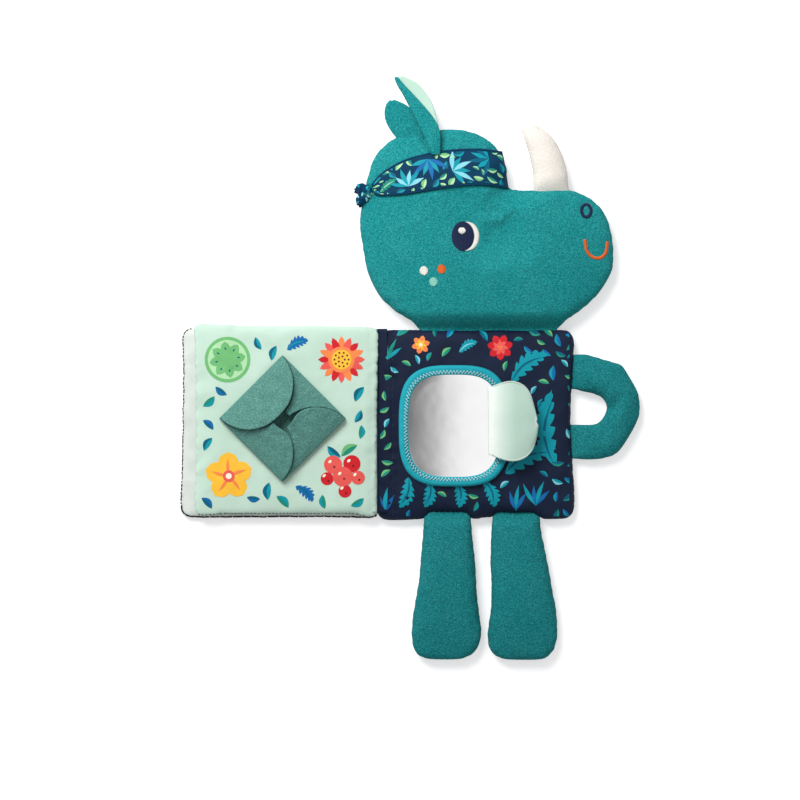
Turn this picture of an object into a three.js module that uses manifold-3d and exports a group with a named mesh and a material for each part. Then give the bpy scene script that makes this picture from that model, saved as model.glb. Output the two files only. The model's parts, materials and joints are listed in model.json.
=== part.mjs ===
// A crinkle cloth book that lies open on its back: a padded page with a mirror, a padded leaf and cover
// that turn about the gutter, and a stuffed rhinoceros head, two legs and a loop handle sewn round the page.
// Millimetres, +Z up, +X to the handle, +Y to the head. Pieces are laid out from the middle of the gutter,
// and the finished group is then moved so that its origin is the middle of its bounding box, at the bottom.

import * as THREE from "three";
import { mergeVertices } from "three/addons/utils/BufferGeometryUtils.js";
import Module from "manifold-3d";

const wasm = await Module();
wasm.setup();

// Clearances and cloths
const clothGap = 0.3;
const stuffingGap = 0.5;
const clothWall = 1.2;
const plushWall = 2;
const filmThickness = 0.4;
const filmDrop = 0.35;
const filmShare = 0.82;

// Page with the mirror, which is the body of the book
const pageWidth = 158.4;
const pageHeight = 154;
const pageCorner = 9;
const pageDrawIn = 0.5;
const pageBackDepth = 7;
const pageFrontDepth = 9;
const bindingSeamInset = 12.5;
const bindingSeamDepth = 2.2;
const bindingSeamSpread = 4;

// Gutter, where page, leaf and cover are sewn to one strip of binding
const bindingThickness = 2.6;
const bindingFoot = 1.5;
const bindingTop = 12.6;
const turnAxisHeight = 14.5;

// Cover, the lowest leaf of the left side
const coverWidth = 157.2;
const coverHeight = 152;
const coverCorner = 8;
const coverDrawIn = 0.8;
const coverRise = 1.6;
const coverBackDepth = 3.5;
const coverFrontDepth = 4.5;

// Leaf with the felt pocket, which lies on the cover
const leafWidth = 146.2;
const leafHeight = 151;
const leafCorner = 7;
const leafDrawIn = 1;
const leafRise = 2.5;
const leafBackDepth = 3;
const leafFrontDepth = 4;

// Mirror and its bound edge
const mirrorWidth = 80;
const mirrorHeight = 89;
const mirrorRoundShare = 3.2;
const mirrorThickness = 0.8;
const mirrorCentreX = 61.6;
const mirrorCentreY = -1.4;
const ringWidth = 7;
const ringLap = 2.6;
const ringThickness = 3;
const loopSteps = 40;

// Flap that closes over the mirror, folded back to the right
const flapLength = 45;
const flapHeight = 66;
const flapLayer = 1;
const flapFoldX = 91.7;
const flapFoldLift = 3.1;
const flapCentreY = 2.4;
const flapHingeClearance = 0.6;
const flapRestAngle = 22;
const flapRootThickness = 1.1;
const flapRootInsetShare = 0.06;
const flapCurveSteps = 5;

// Felt pocket: a square laid on its corner, with a half-round petal on each side
const pocketSide = 72.5;
const pocketCentreX = -76.5;
const pocketCentreY = 4.5;
const feltThickness = 1.6;
const petalDepth = 33.5;
const petalEndInset = 1;
const petalLapGap = 0.5;
const petalTiltAngle = 5;

// Head, horn and ears
const headLength = 203;
const headHeight = 161;
const headLeft = -13;
const headReachShare = 0.42;
const neckSeamGap = 0.3;
const headBackDepth = 11;
const headFrontDepth = 17;
const hornBaseShares = [0.7512, 0.69];
const hornBaseWidth = 28;
const hornLength = 56;
const hornHook = 19;
const hornBow = 3;
const hornTaperShare = 2.1;
const hornThickness = 15;
const hornSeat = 6;
const earBaseShares = [0.2857, 0.9236];
const earLength = 61;
const earHalfWidth = 11;
const earLayer = 1.3;
const earFoldAngle = 32;
const earTurnAngle = 29;
const earBaseLift = 0.4;
const earDroopAngle = 13;
const farEarBaseShares = [0.1502, 0.9062];
const farEarTurnAngle = 24;
const farEarLength = 34;
const farEarHalfWidth = 8;
const farEarFoldAngle = 16;

// Headband and its knot
const bandThickness = 1.3;
const bandHem = 1;
const bandSteps = 12;
const knotLength = 17;
const knotHeight = 13;
const knotThickness = 12;
const knotTailLength = 13;
const knotTailWidth = 8;
const knotTailThickness = 4;

// Legs
const legLength = 113.4;
const legTopWidth = 38;
const legFootWidth = 54;
const legBackDepth = 8;
const legFrontDepth = 10;
const leftLegX = 56.5;
const rightLegX = 112;
const leftLegLeanAngle = -0.5;
const rightLegLeanAngle = 2.6;

// Loop handle
const handleReach = 38.7;
const handleHalfSpan = 28.3;
const handleCentreY = 14.2;
const handleWidth = 27;
const handleBackDepth = 7;
const handleFrontDepth = 9;

const rad = THREE.MathUtils.degToRad;
const cuttingHeight = pageFrontDepth + pageBackDepth;

// Heights worked out from the stack of padded pieces
const pageSeamZ = pageBackDepth;
const pageTopZ = pageBackDepth + pageFrontDepth;
const coverSeamZ = coverBackDepth;
const coverTopZ = coverBackDepth + coverFrontDepth;
const leafSeamZ = coverTopZ + clothGap + leafBackDepth;
const leafTopZ = leafSeamZ + leafFrontDepth;
const headSeamZ = headBackDepth;
const legSeamZ = legBackDepth;
const handleSeamZ = handleBackDepth;
const feltBottomZ = leafTopZ + clothGap;
const petalAxisZ = feltBottomZ + feltThickness + clothGap / 2;

// Cloth colours
const colours = {
  navy: 0x1d2b4c,
  pale: 0xdfe5df,
  mint: 0xcfe9db,
  teal: 0x26958c,
  felt: 0x64998f,
  ring: 0x1f8c98,
  mirror: 0xd9dcdd,
  cream: 0xf4efe8,
  lining: 0xbfe3d3,
  wadding: 0xf2f1ec,
  film: 0xe7eef2,
};

function cloth(colour, roughness = 0.9, metalness = 0) {
  return new THREE.MeshStandardMaterial({ color: colour, roughness, metalness });
}

// Closed surface through a row of rings of equal count, where the first and last may be one point.
// Open ends get the triangles of endFaces. The faces are turned to point out.
function skin(rings, endFaces = []) {
  const positions = [];
  const starts = [];
  const index = [];
  for (const ring of rings) {
    starts.push(positions.length / 3);
    for (const p of ring) positions.push(p.x, p.y, p.z);
  }
  for (let k = 1; k < rings.length; k += 1) {
    const count = Math.max(rings[k - 1].length, rings[k].length);
    const low = (i) => starts[k - 1] + (rings[k - 1].length === 1 ? 0 : i % count);
    const high = (i) => starts[k] + (rings[k].length === 1 ? 0 : i % count);
    for (let i = 0; i < count; i += 1) {
      if (rings[k - 1].length > 1) index.push(low(i), low(i + 1), high(i));
      if (rings[k].length > 1) index.push(low(i + 1), high(i + 1), high(i));
    }
  }
  const last = starts[rings.length - 1];
  for (const face of endFaces) {
    const [a, b, c] = [...face].sort((one, two) => one - two);
    index.push(a, c, b);
    index.push(last + a, last + b, last + c);
  }
  const corner = (i) => new THREE.Vector3().fromArray(positions, 3 * i);
  let volume = 0;
  for (let i = 0; i < index.length; i += 3) {
    volume += corner(index[i]).dot(corner(index[i + 1]).cross(corner(index[i + 2])));
  }
  if (volume < 0) index.reverse();
  const geometry = new THREE.BufferGeometry();
  geometry.setAttribute("position", new THREE.Float32BufferAttribute(positions, 3));
  geometry.setIndex(index);
  geometry.computeVertexNormals();
  return geometry;
}

function solidOf(geometry) {
  const bare = geometry.index ? geometry.toNonIndexed() : geometry.clone();
  bare.deleteAttribute("normal");
  bare.deleteAttribute("uv");
  const merged = mergeVertices(bare, 1e-4);
  return new wasm.Manifold(
    new wasm.Mesh({
      numProp: 3,
      vertProperties: new Float32Array(merged.attributes.position.array),
      triVerts: new Uint32Array(merged.index.array),
    }),
  );
}

function geometryOf(solid) {
  const mesh = solid.getMesh();
  const geometry = new THREE.BufferGeometry();
  geometry.setAttribute("position", new THREE.Float32BufferAttribute(mesh.vertProperties, 3));
  geometry.setIndex(new THREE.Uint32BufferAttribute(mesh.triVerts, 1));
  geometry.computeVertexNormals();
  return geometry;
}

// Rounded rectangle round the origin with its sides drawn in between the corners, anticlockwise.
function paddedOutline(width, height, corner, drawIn) {
  const arcSteps = 3;
  const sideSteps = 4;
  const points = [];
  const ends = [
    [1, 1],
    [-1, 1],
    [-1, -1],
    [1, -1],
  ];
  ends.forEach(([sx, sy], k) => {
    const centre = new THREE.Vector2(sx * (width / 2 - corner), sy * (height / 2 - corner));
    for (let i = 0; i <= arcSteps; i += 1) {
      const angle = (Math.PI / 2) * (k + i / arcSteps);
      points.push(new THREE.Vector2(Math.cos(angle), Math.sin(angle)).multiplyScalar(corner).add(centre));
    }
    const from = points[points.length - 1];
    const [nx, ny] = ends[(k + 1) % 4];
    const to = new THREE.Vector2(nx * (width / 2 - corner), ny * (height / 2 - corner));
    to.add(k % 2 === 0 ? new THREE.Vector2(0, ny * corner) : new THREE.Vector2(nx * corner, 0));
    for (let i = 1; i < sideSteps; i += 1) {
      const t = i / sideSteps;
      const p = from.clone().lerp(to, t);
      const bow = drawIn * Math.sin(Math.PI * t);
      points.push(k % 2 === 0 ? p.setY(p.y - sy * bow) : p.setX(p.x - sx * bow));
    }
  });
  return points;
}

// Smooth closed line through hand-placed points, in equal steps. Its straight seam runs from the last
// point back to the first.
function sewnOutline(points, steps, seamSteps) {
  const curve = new THREE.CatmullRomCurve3(
    points.map(([x, y]) => new THREE.Vector3(x, y, 0)),
    false,
    "centripetal",
  );
  const line = curve.getSpacedPoints(steps).map((p) => new THREE.Vector2(p.x, p.y));
  const [first, last] = [line[0], line[line.length - 1]];
  for (let i = 1; i < seamSteps; i += 1) line.push(last.clone().lerp(first, i / seamSteps));
  return line;
}

function scaledOutline(outline, centre, share) {
  return outline.map((p) => centre.clone().lerp(p, share));
}

// The outline moved out by a gap, square to its own line at each point.
function grownOutline(outline, gap) {
  const count = outline.length;
  return outline.map((p, i) => {
    const along = outline[(i + 1) % count].clone().sub(outline[(i + count - 1) % count]).normalize();
    return p.clone().add(new THREE.Vector2(along.y, -along.x).multiplyScalar(gap));
  });
}

function ringAt(outline, heightOf) {
  return outline.map((p) => new THREE.Vector3(p.x, p.y, heightOf(p.x, p.y)));
}

// The swell of a sewn edge: how far in from the edge, as a share of the way to the middle, and how much of
// the full depth is reached there.
const pageSwellShares = [
  [1, 0.14],
  [0.984, 0.45],
  [0.956, 0.72],
  [0.92, 0.88],
  [0.84, 0.97],
  [0.7, 1],
];
const backSwellShares = [
  [1, 0.16],
  [0.98, 0.55],
  [0.94, 0.86],
  [0.88, 1],
];
const headSwellShares = [
  [1, 0.07],
  [0.98, 0.3],
  [0.93, 0.58],
  [0.83, 0.81],
  [0.63, 0.96],
  [0.33, 1],
];
const limbSwellShares = [
  [1, 0.1],
  [0.96, 0.38],
  [0.87, 0.65],
  [0.7, 0.87],
  [0.4, 1],
];

// Height of a swell at a share, straight between its rows.
function swellAt(swell, share) {
  for (let i = 1; i < swell.length; i += 1) {
    const [outer, low] = swell[i - 1];
    const [inner, high] = swell[i];
    if (share >= inner) return THREE.MathUtils.mapLinear(share, inner, outer, high, low);
  }
  return swell[swell.length - 1][1];
}

// One cloth panel of a padded piece: a dish whose rim is the seam. depth is signed, up or down.
function dishPanel({ outline, centre, swell, seamZ, depth, wall, reach, shape = () => 0 }) {
  const side = Math.sign(depth);
  const rimZ = seamZ + (side * clothGap) / 2;
  const seamed = (z) => () => z;
  const lifted = (rise) => (x, y) => rimZ + side * (rise + shape(x, y));
  const rings = [[new THREE.Vector3(centre.x, centre.y, seamZ + depth)]];
  const hollow = [[new THREE.Vector3(centre.x, centre.y, seamZ + depth - side * wall)]];
  const full = Math.abs(depth) - clothGap / 2;
  const inset = 1 - wall / reach;
  for (const [share, height] of [...swell].reverse()) {
    const rise = height * full;
    rings.push(ringAt(scaledOutline(outline, centre, share), lifted(rise)));
    if (rise - wall > clothGap) {
      hollow.push(ringAt(scaledOutline(outline, centre, share * inset), lifted(rise - wall)));
    }
  }
  rings.push(ringAt(outline, seamed(rimZ)));
  hollow.push(ringAt(scaledOutline(outline, centre, inset), seamed(rimZ)));
  return skin([...rings, ...hollow.reverse()]);
}

// Filling of a padded piece: a lens that keeps a gap to both of its panels.
function lensFilling({ outline, centre, swell, seamZ, top, bottom, wall, reach }) {
  const lost = wall + stuffingGap;
  const inset = 1 - lost / reach;
  const rows = swell.filter((row, i) => i % 2 === swell.length % 2);
  const side = (depth) => {
    const rings = [];
    for (const [share, height] of rows) {
      const rise = height * Math.abs(depth) - lost;
      if (share < 1 && rise > clothGap) {
        const z = seamZ + Math.sign(depth) * rise;
        rings.push(ringAt(scaledOutline(outline, centre, share * inset), () => z));
      }
    }
    rings.push([new THREE.Vector3(centre.x, centre.y, seamZ + depth - Math.sign(depth) * lost)]);
    return rings;
  };
  const rim = ringAt(scaledOutline(outline, centre, inset), () => seamZ);
  return skin([...side(top).reverse(), rim, ...side(-bottom)]);
}

function shapeOf(outline) {
  return new THREE.Shape(outline);
}

function sheetOf(outline, bottomZ, thickness) {
  const sheet = new THREE.ExtrudeGeometry(shapeOf(outline), { depth: thickness, bevelEnabled: false });
  return sheet.translate(0, 0, bottomZ);
}

function piece(name, geometry, material) {
  const mesh = new THREE.Mesh(geometry, material);
  mesh.name = name;
  return mesh;
}

// Group that stands at a hinge and holds pieces drawn in the book's own coordinates.
function bodyAt(name, x, y, z) {
  const body = new THREE.Group();
  body.name = name;
  body.position.set(x, y, z);
  body.hold = (...meshes) => {
    for (const mesh of meshes) mesh.position.sub(body.position);
    body.add(...meshes);
    return body;
  };
  return body;
}

// Padded pages
const pageCentre = new THREE.Vector2(bindingThickness / 2 + clothGap + pageWidth / 2, 0);
const coverCentre = new THREE.Vector2(-(bindingThickness / 2 + clothGap + coverWidth / 2), coverRise);
const leafCentre = new THREE.Vector2(-(bindingThickness / 2 + clothGap + leafWidth / 2), leafRise);

function placedOutline(width, height, corner, drawIn, centre) {
  return paddedOutline(width, height, corner, drawIn).map((p) => p.add(centre));
}

const pageOutline = placedOutline(pageWidth, pageHeight, pageCorner, pageDrawIn, pageCentre);
const coverOutline = placedOutline(coverWidth, coverHeight, coverCorner, coverDrawIn, coverCentre);
const leafOutline = placedOutline(leafWidth, leafHeight, leafCorner, leafDrawIn, leafCentre);

// The line of stitches beside the gutter pulls the front of the page down.
function bindingSeam(x) {
  const away = (x - bindingThickness / 2 - bindingSeamInset) / bindingSeamSpread;
  return -bindingSeamDepth * Math.exp(-away * away);
}

function paddedPage({ name, outline, centre, seamZ, front, back, height, cloths, shape, sheetRoom }) {
  const common = { outline, centre, seamZ, wall: clothWall, reach: height / 2 };
  const frontPanel = dishPanel({ ...common, swell: pageSwellShares, depth: front, shape });
  const backPanel = dishPanel({ ...common, swell: backSwellShares, depth: -back });
  const filmTop = seamZ + front - clothWall - sheetRoom - clothGap - filmDrop;
  const filmOutline = scaledOutline(outline, centre, filmShare);
  const wadding = lensFilling({
    ...common,
    swell: backSwellShares,
    top: front - sheetRoom - filmThickness - clothGap - filmDrop,
    bottom: back,
  });
  return [
    piece(name + "_front_panel", frontPanel, cloths.front),
    piece(name + "_back_panel", backPanel, cloths.back),
    piece(name + "_wadding", wadding, cloth(colours.wadding, 1)),
    piece(
      name + "_crinkle_film",
      sheetOf(filmOutline, filmTop - filmThickness, filmThickness),
      cloth(colours.film, 0.3),
    ),
  ];
}

// Mirror: a sheet with a bound edge that laps over it
function roundedLoop(width, height) {
  const points = [];
  const power = 2 / mirrorRoundShare;
  for (let i = 0; i < loopSteps; i += 1) {
    const angle = (2 * Math.PI * i) / loopSteps;
    const c = Math.cos(angle);
    const s = Math.sin(angle);
    const x = (width / 2) * Math.sign(c) * Math.abs(c) ** power;
    const y = (height / 2) * Math.sign(s) * Math.abs(s) ** power;
    points.push(new THREE.Vector2(x + mirrorCentreX, y + mirrorCentreY));
  }
  return points;
}

const mirrorBottomZ = pageTopZ + clothGap;
const mirrorTopZ = mirrorBottomZ + mirrorThickness;

function mirrorSheet() {
  return sheetOf(roundedLoop(mirrorWidth, mirrorHeight), mirrorBottomZ, mirrorThickness);
}

// The binding's section, out from the mirror's middle and up: it laps the mirror and steps down outside it.
function mirrorBinding() {
  const outer = ringWidth - ringLap;
  const lapZ = mirrorTopZ + clothGap;
  const step = clothGap;
  const section = [
    [-ringLap, lapZ],
    [-ringLap, lapZ + ringThickness / 3],
    [-ringLap / 3, pageTopZ + ringThickness],
    [outer / 2, pageTopZ + ringThickness],
    [outer, pageTopZ + ringThickness / 2],
    [outer, mirrorBottomZ],
    [step, mirrorBottomZ],
    [step, lapZ],
  ];
  const rings = section.map(([out, z]) => {
    return ringAt(roundedLoop(mirrorWidth + 2 * out, mirrorHeight + 2 * out), () => z);
  });
  return skin([...rings, rings[0]]);
}

// Flap of two layers, half-round at its free edge, drawn flat from the fold along +X. Its half outline is
// held by control points: along the flap, and out from its middle line.
const flapEdgeShares = [
  [0, 0.88],
  [0.4, 1.06],
  [0.72, 0.86],
  [0.98, 0.6],
  [1, 0],
];

function flapOutline(from) {
  const [root, belly, shoulder, cheek, tip] = flapEdgeShares.map(([along, across]) => [
    from + along * (flapLength - from),
    (across * flapHeight) / 2,
  ]);
  const shape = new THREE.Shape();
  shape.moveTo(root[0], -root[1]);
  shape.quadraticCurveTo(belly[0], -belly[1], shoulder[0], -shoulder[1]);
  shape.quadraticCurveTo(cheek[0], -cheek[1], tip[0], tip[1]);
  shape.quadraticCurveTo(cheek[0], cheek[1], shoulder[0], shoulder[1]);
  shape.quadraticCurveTo(belly[0], belly[1], root[0], root[1]);
  return shape.getPoints(flapCurveSteps);
}

function flapLayerSolid(bottom) {
  return sheetOf(flapOutline(flapHingeClearance), bottom, flapLayer);
}

// The flap's sewn root: a strip from the fold to the binding's inner edge, which it follows.
function flapRoot() {
  const from = flapFoldX + clothGap;
  const to = mirrorCentreX + mirrorWidth / 2;
  const half = flapHeight / 2 - flapHeight * flapRootInsetShare;
  const strip = [
    new THREE.Vector2(from, flapCentreY - half),
    new THREE.Vector2(to, flapCentreY - half),
    new THREE.Vector2(to, flapCentreY + half),
    new THREE.Vector2(from, flapCentreY + half),
  ];
  const inside = 2 * (ringLap + clothGap);
  const loop = roundedLoop(mirrorWidth - inside, mirrorHeight - inside);
  const bottom = mirrorTopZ + clothGap;
  const window = solidOf(sheetOf(loop, bottom - flapRootThickness, 3 * flapRootThickness));
  return geometryOf(solidOf(sheetOf(strip, bottom, flapRootThickness)).intersect(window));
}

// Felt pocket: petals are cut back where a petal laid over them covers them, so that any one can open first
const petals = [
  { name: "petal_north_west", turn: -135, under: [] },
  { name: "petal_south_west", turn: -45, under: [0] },
  { name: "petal_south_east", turn: 45, under: [0, 1] },
  { name: "petal_north_east", turn: 135, under: [0, 2] },
];

function petalPlace(turn) {
  const inward = new THREE.Vector2(-Math.sin(rad(turn)), Math.cos(rad(turn)));
  return new THREE.Vector3(
    pocketCentreX - (inward.x * pocketSide) / 2,
    pocketCentreY - (inward.y * pocketSide) / 2,
    petalAxisZ,
  );
}

function petalShape(grow) {
  const shape = new THREE.Shape();
  const half = pocketSide / 2 - petalEndInset + grow;
  shape.moveTo(half, -grow);
  shape.lineTo(half, 0);
  shape.absellipse(0, 0, half, petalDepth + grow, 0, Math.PI, false);
  shape.lineTo(-half, -grow);
  return shape.extractPoints(14).shape;
}

function petalMatrix(turn, tilt) {
  const place = petalPlace(turn);
  const matrix = new THREE.Matrix4().makeTranslation(place.x, place.y, place.z);
  matrix.multiply(new THREE.Matrix4().makeRotationZ(rad(turn)));
  return matrix.multiply(new THREE.Matrix4().makeRotationX(rad(tilt)));
}

function petalCutter(turn) {
  const prism = sheetOf(petalShape(petalLapGap), -cuttingHeight / 2, cuttingHeight);
  return solidOf(prism.applyMatrix4(petalMatrix(turn, 0)));
}

function petalSolid({ turn, under }) {
  const flat = sheetOf(petalShape(0).map((p) => p.setY(p.y + clothGap)), clothGap / 2, feltThickness);
  let solid = solidOf(flat.applyMatrix4(petalMatrix(turn, petalTiltAngle)));
  for (const k of under) solid = solid.subtract(petalCutter(petals[k].turn));
  return geometryOf(solid);
}

function pocketBase() {
  const half = pocketSide / Math.SQRT2;
  const corners = [
    [half, 0],
    [0, half],
    [-half, 0],
    [0, -half],
  ];
  const square = corners.map(([x, y]) => new THREE.Vector2(pocketCentreX + x, pocketCentreY + y));
  return sheetOf(square, feltBottomZ, feltThickness);
}

// Head: a profile in shares of its length and height, from the front of the neck seam round to its back
const headBottom = pageHeight / 2 + neckSeamGap;
const headProfileShares = [
  [0.758, 0],
  [0.858, 0.075],
  [0.945, 0.18],
  [0.995, 0.33],
  [0.99, 0.5],
  [0.925, 0.64],
  [0.81, 0.695],
  [0.7, 0.685],
  [0.615, 0.7],
  [0.585, 0.79],
  [0.54, 0.91],
  [0.445, 0.985],
  [0.34, 1],
  [0.225, 0.965],
  [0.12, 0.865],
  [0.045, 0.715],
  [0.005, 0.54],
  [0.015, 0.36],
  [0.075, 0.2],
  [0.16, 0.075],
  [0.255, 0],
];
const headCentreShares = [0.49, 0.46];

function headPoint([along, up]) {
  return [headLeft + along * headLength, headBottom + up * headHeight];
}

const headOutline = sewnOutline(headProfileShares.map(headPoint), 46, 6);
const headCentre = new THREE.Vector2(...headPoint(headCentreShares));
const headParts = {
  outline: headOutline,
  centre: headCentre,
  seamZ: headSeamZ,
  wall: plushWall,
  reach: headHeight * headReachShare,
};

// How far out a point of the head lies: 0 at the middle, 1 at the seam.
function headShare(x, y) {
  const away = new THREE.Vector2(x, y).sub(headCentre);
  for (let i = 0; i < headOutline.length; i += 1) {
    const a = headOutline[i].clone().sub(headCentre);
    const b = headOutline[(i + 1) % headOutline.length].clone().sub(headCentre);
    const whole = a.cross(b);
    const p = away.cross(b) / whole;
    const q = a.cross(away) / whole;
    if (p >= 0 && q >= 0) return p + q;
  }
  return 0;
}

function headTop(x, y) {
  const rise = swellAt(headSwellShares, Math.min(headShare(x, y), 1));
  return headSeamZ + clothGap / 2 + rise * (headFrontDepth - clothGap / 2);
}

// The front of the head as one lump, larger by a gap all round.
function headLump(gap) {
  const outline = grownOutline(headOutline, gap);
  const rimZ = headSeamZ + clothGap / 2;
  const full = headFrontDepth - clothGap / 2;
  const rims = [...headSwellShares].reverse().map(([share, height]) => {
    return ringAt(scaledOutline(outline, headCentre, share), () => rimZ + height * full + gap);
  });
  const top = new THREE.Vector3(headCentre.x, headCentre.y, rimZ + full + gap);
  const foot = new THREE.Vector3(headCentre.x, headCentre.y, 0);
  return solidOf(skin([[top], ...rims, ringAt(outline, () => 0), [foot]]));
}

const headCutter = headLump(clothGap);

function clearOfHead(geometry) {
  return geometryOf(solidOf(geometry).subtract(headCutter));
}

// Horn: ellipses along a bent line that leans back towards the brow, cut off at the head's seam
function horn() {
  const steps = 7;
  const sides = 10;
  const [hornBaseX, browY] = headPoint(hornBaseShares);
  const baseY = browY - hornSeat;
  const rings = [];
  for (let k = 0; k < steps; k += 1) {
    const t = k / steps;
    const width = (hornBaseWidth / 2) * (1 - t ** hornTaperShare);
    const depth = (hornThickness / 2) * (1 - t ** hornTaperShare);
    const middleX = hornBaseX + hornBow * Math.sin(Math.PI * t) - hornHook * t * t;
    const ring = [];
    for (let i = 0; i < sides; i += 1) {
      const angle = (2 * Math.PI * i) / sides;
      ring.push(
        new THREE.Vector3(
          middleX + width * Math.cos(angle),
          baseY + (hornLength + hornSeat) * t,
          headSeamZ + depth * Math.sin(angle),
        ),
      );
    }
    rings.push(ring);
  }
  const tip = new THREE.Vector3(hornBaseX - hornHook, baseY + hornLength + hornSeat, headSeamZ);
  const base = new THREE.Vector3(hornBaseX, baseY, headSeamZ);
  const whole = solidOf(skin([[base], ...rings, [tip]]));
  const room = grownOutline(headOutline, clothGap);
  return geometryOf(whole.subtract(solidOf(sheetOf(room, 0, headSeamZ + headFrontDepth))));
}

// Ear: two layers folded lengthwise, as sections across a bent leaf
const earWidthShares = [
  [0, 0.5],
  [0.12, 0.72],
  [0.3, 0.95],
  [0.48, 1],
  [0.66, 0.86],
  [0.82, 0.6],
  [0.93, 0.34],
  [1, 0.08],
];

function earLayerSolid(length, halfWidth, fold, bottom) {
  const across = [-1, -0.5, 0, 0.5, 1];
  const rings = earWidthShares.map(([along, share]) => {
    const at = (v, lift) =>
      new THREE.Vector3(
        v * share * halfWidth * Math.cos(rad(fold)),
        along * length,
        Math.abs(v) * share * halfWidth * Math.sin(rad(fold)) + lift,
      );
    const low = across.map((v) => at(v, bottom));
    const high = across.map((v) => at(v, bottom + earLayer));
    return [...low, ...high.reverse()];
  });
  const flat = rings[0].map((p) => new THREE.Vector2(p.x, p.z));
  return skin(rings, THREE.ShapeUtils.triangulateShape(flat, []));
}

function placeEar(geometry, turn, droop, x, y, z) {
  const matrix = new THREE.Matrix4().makeTranslation(x, y, z);
  matrix.multiply(new THREE.Matrix4().makeRotationZ(rad(turn)));
  matrix.multiply(new THREE.Matrix4().makeRotationX(rad(-droop)));
  return clearOfHead(geometry.applyMatrix4(matrix));
}

// Headband: a strip between two edges that follows the head's front, and a knot at its back end
const bandUpperShares = [
  [0.062, 0.715],
  [0.11, 0.775],
  [0.19, 0.84],
  [0.3, 0.885],
  [0.42, 0.9],
  [0.545, 0.885],
];
const bandLowerShares = [
  [0.07, 0.67],
  [0.13, 0.675],
  [0.22, 0.68],
  [0.33, 0.685],
  [0.45, 0.69],
  [0.578, 0.705],
];

function edgePoints(shares) {
  const points = shares.map(headPoint).map(([x, y]) => new THREE.Vector3(x, y, 0));
  const curve = new THREE.CatmullRomCurve3(points, false, "centripetal");
  return curve.getSpacedPoints(bandSteps).map((p) => new THREE.Vector2(p.x, p.y));
}

// The band is what its two edges leave of one layer of cloth on the head.
function headband() {
  const edges = [...edgePoints(bandUpperShares), ...edgePoints(bandLowerShares).reverse()];
  const prism = solidOf(sheetOf(edges, headSeamZ + bandHem, headFrontDepth + bandThickness));
  return geometryOf(prism.intersect(headLump(clothGap + bandThickness)).subtract(headCutter));
}

function ball(width, height, thickness, x, y, z, turn) {
  const round = new THREE.SphereGeometry(1 / 2, 10, 7);
  round.scale(width, height, thickness);
  round.rotateZ(rad(turn));
  return solidOf(round.translate(x, y, z));
}

// The knot and its two tails: how far up each tail's middle lies, in knot heights, and its turn in degrees.
const knotTurnAngle = 20;
const knotTailShares = [
  [0.45, 70],
  [-0.45, -60],
];

function knot() {
  const [x, y] = headPoint(bandUpperShares[0]);
  const [, lowY] = headPoint(bandLowerShares[0]);
  const middleX = x - knotLength / 2 - 3 * clothGap;
  const middleY = (y + lowY) / 2 - knotHeight / 4;
  const z = headSeamZ + knotThickness / 4;
  let solid = ball(knotLength, knotHeight, knotThickness, middleX, middleY, z, knotTurnAngle);
  for (const [up, turn] of knotTailShares) {
    const tailX = middleX - knotLength / 3;
    const tailY = middleY + up * knotHeight;
    solid = solid.add(ball(knotTailLength, knotTailWidth, knotTailThickness, tailX, tailY, z, turn));
  }
  return geometryOf(solid.subtract(headCutter));
}

// Legs: half an outline from the seam to the foot's end. Each row is how far along, and how much of the half
// width at the seam and of the foot's half width is reached there.
const legProfileShares = [
  [0, 1, 0],
  [0.3, 0.88, 0.12],
  [0.62, 0.45, 0.55],
  [0.79, 0.06, 0.94],
  [0.87, 0, 1],
  [0.95, 0, 0.76],
  [0.99, 0, 0.43],
];
const legCentreShare = 0.6;
const legTop = -(pageHeight / 2 + neckSeamGap);

function legOutline(x, lean) {
  const side = legProfileShares.map(([along, seam, foot]) => [
    (seam * legTopWidth + foot * legFootWidth) / 2,
    -along * legLength,
  ]);
  const points = [...side.map(([w, y]) => [-w, y]), [0, -legLength], ...side.reverse()];
  const turn = rad(lean);
  const placed = points.map(([px, py]) => [
    x + px * Math.cos(turn) - py * Math.sin(turn),
    legTop + (py === 0 ? 0 : px * Math.sin(turn) + py * Math.cos(turn)),
  ]);
  return sewnOutline(placed, 28, 4);
}

function leg(name, x, lean) {
  const outline = legOutline(x, lean);
  const down = legLength * legCentreShare;
  const centre = new THREE.Vector2(x + down * Math.sin(rad(lean)), legTop - down);
  const common = { outline, centre, seamZ: legSeamZ, wall: plushWall, reach: legTopWidth / 2 };
  const plush = cloth(colours.teal, 0.95);
  return [
    piece(
      name + "_front_panel",
      dishPanel({ ...common, swell: limbSwellShares, depth: legFrontDepth }),
      plush,
    ),
    piece(
      name + "_back_panel",
      dishPanel({ ...common, swell: backSwellShares, depth: -legBackDepth }),
      plush,
    ),
    piece(
      name + "_stuffing",
      lensFilling({ ...common, swell: limbSwellShares, top: legFrontDepth, bottom: legBackDepth }),
      cloth(colours.wadding, 1),
    ),
  ];
}

// Loop handle: a half-ellipse from the page's edge and back, with an arched section
const handleStartX = pageCentre.x + pageWidth / 2 + neckSeamGap;

function handleSweep(section) {
  const steps = 20;
  const rings = [];
  for (let k = 0; k <= steps; k += 1) {
    const angle = Math.PI * (1 / 2 - k / steps);
    const middle = new THREE.Vector2(handleReach * Math.cos(angle), handleHalfSpan * Math.sin(angle));
    const out = new THREE.Vector2(
      handleHalfSpan * Math.cos(angle),
      handleReach * Math.sin(angle),
    ).normalize();
    if (k === 0 || k === steps) out.set(0, Math.sign(out.y));
    rings.push(
      section.map(
        ([side, z]) =>
          new THREE.Vector3(
            handleStartX + middle.x + out.x * side,
            handleCentreY + middle.y + out.y * side,
            z,
          ),
      ),
    );
  }
  const flat = section.map(([side, z]) => new THREE.Vector2(side, z));
  return skin(rings, THREE.ShapeUtils.triangulateShape(flat, []));
}

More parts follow.
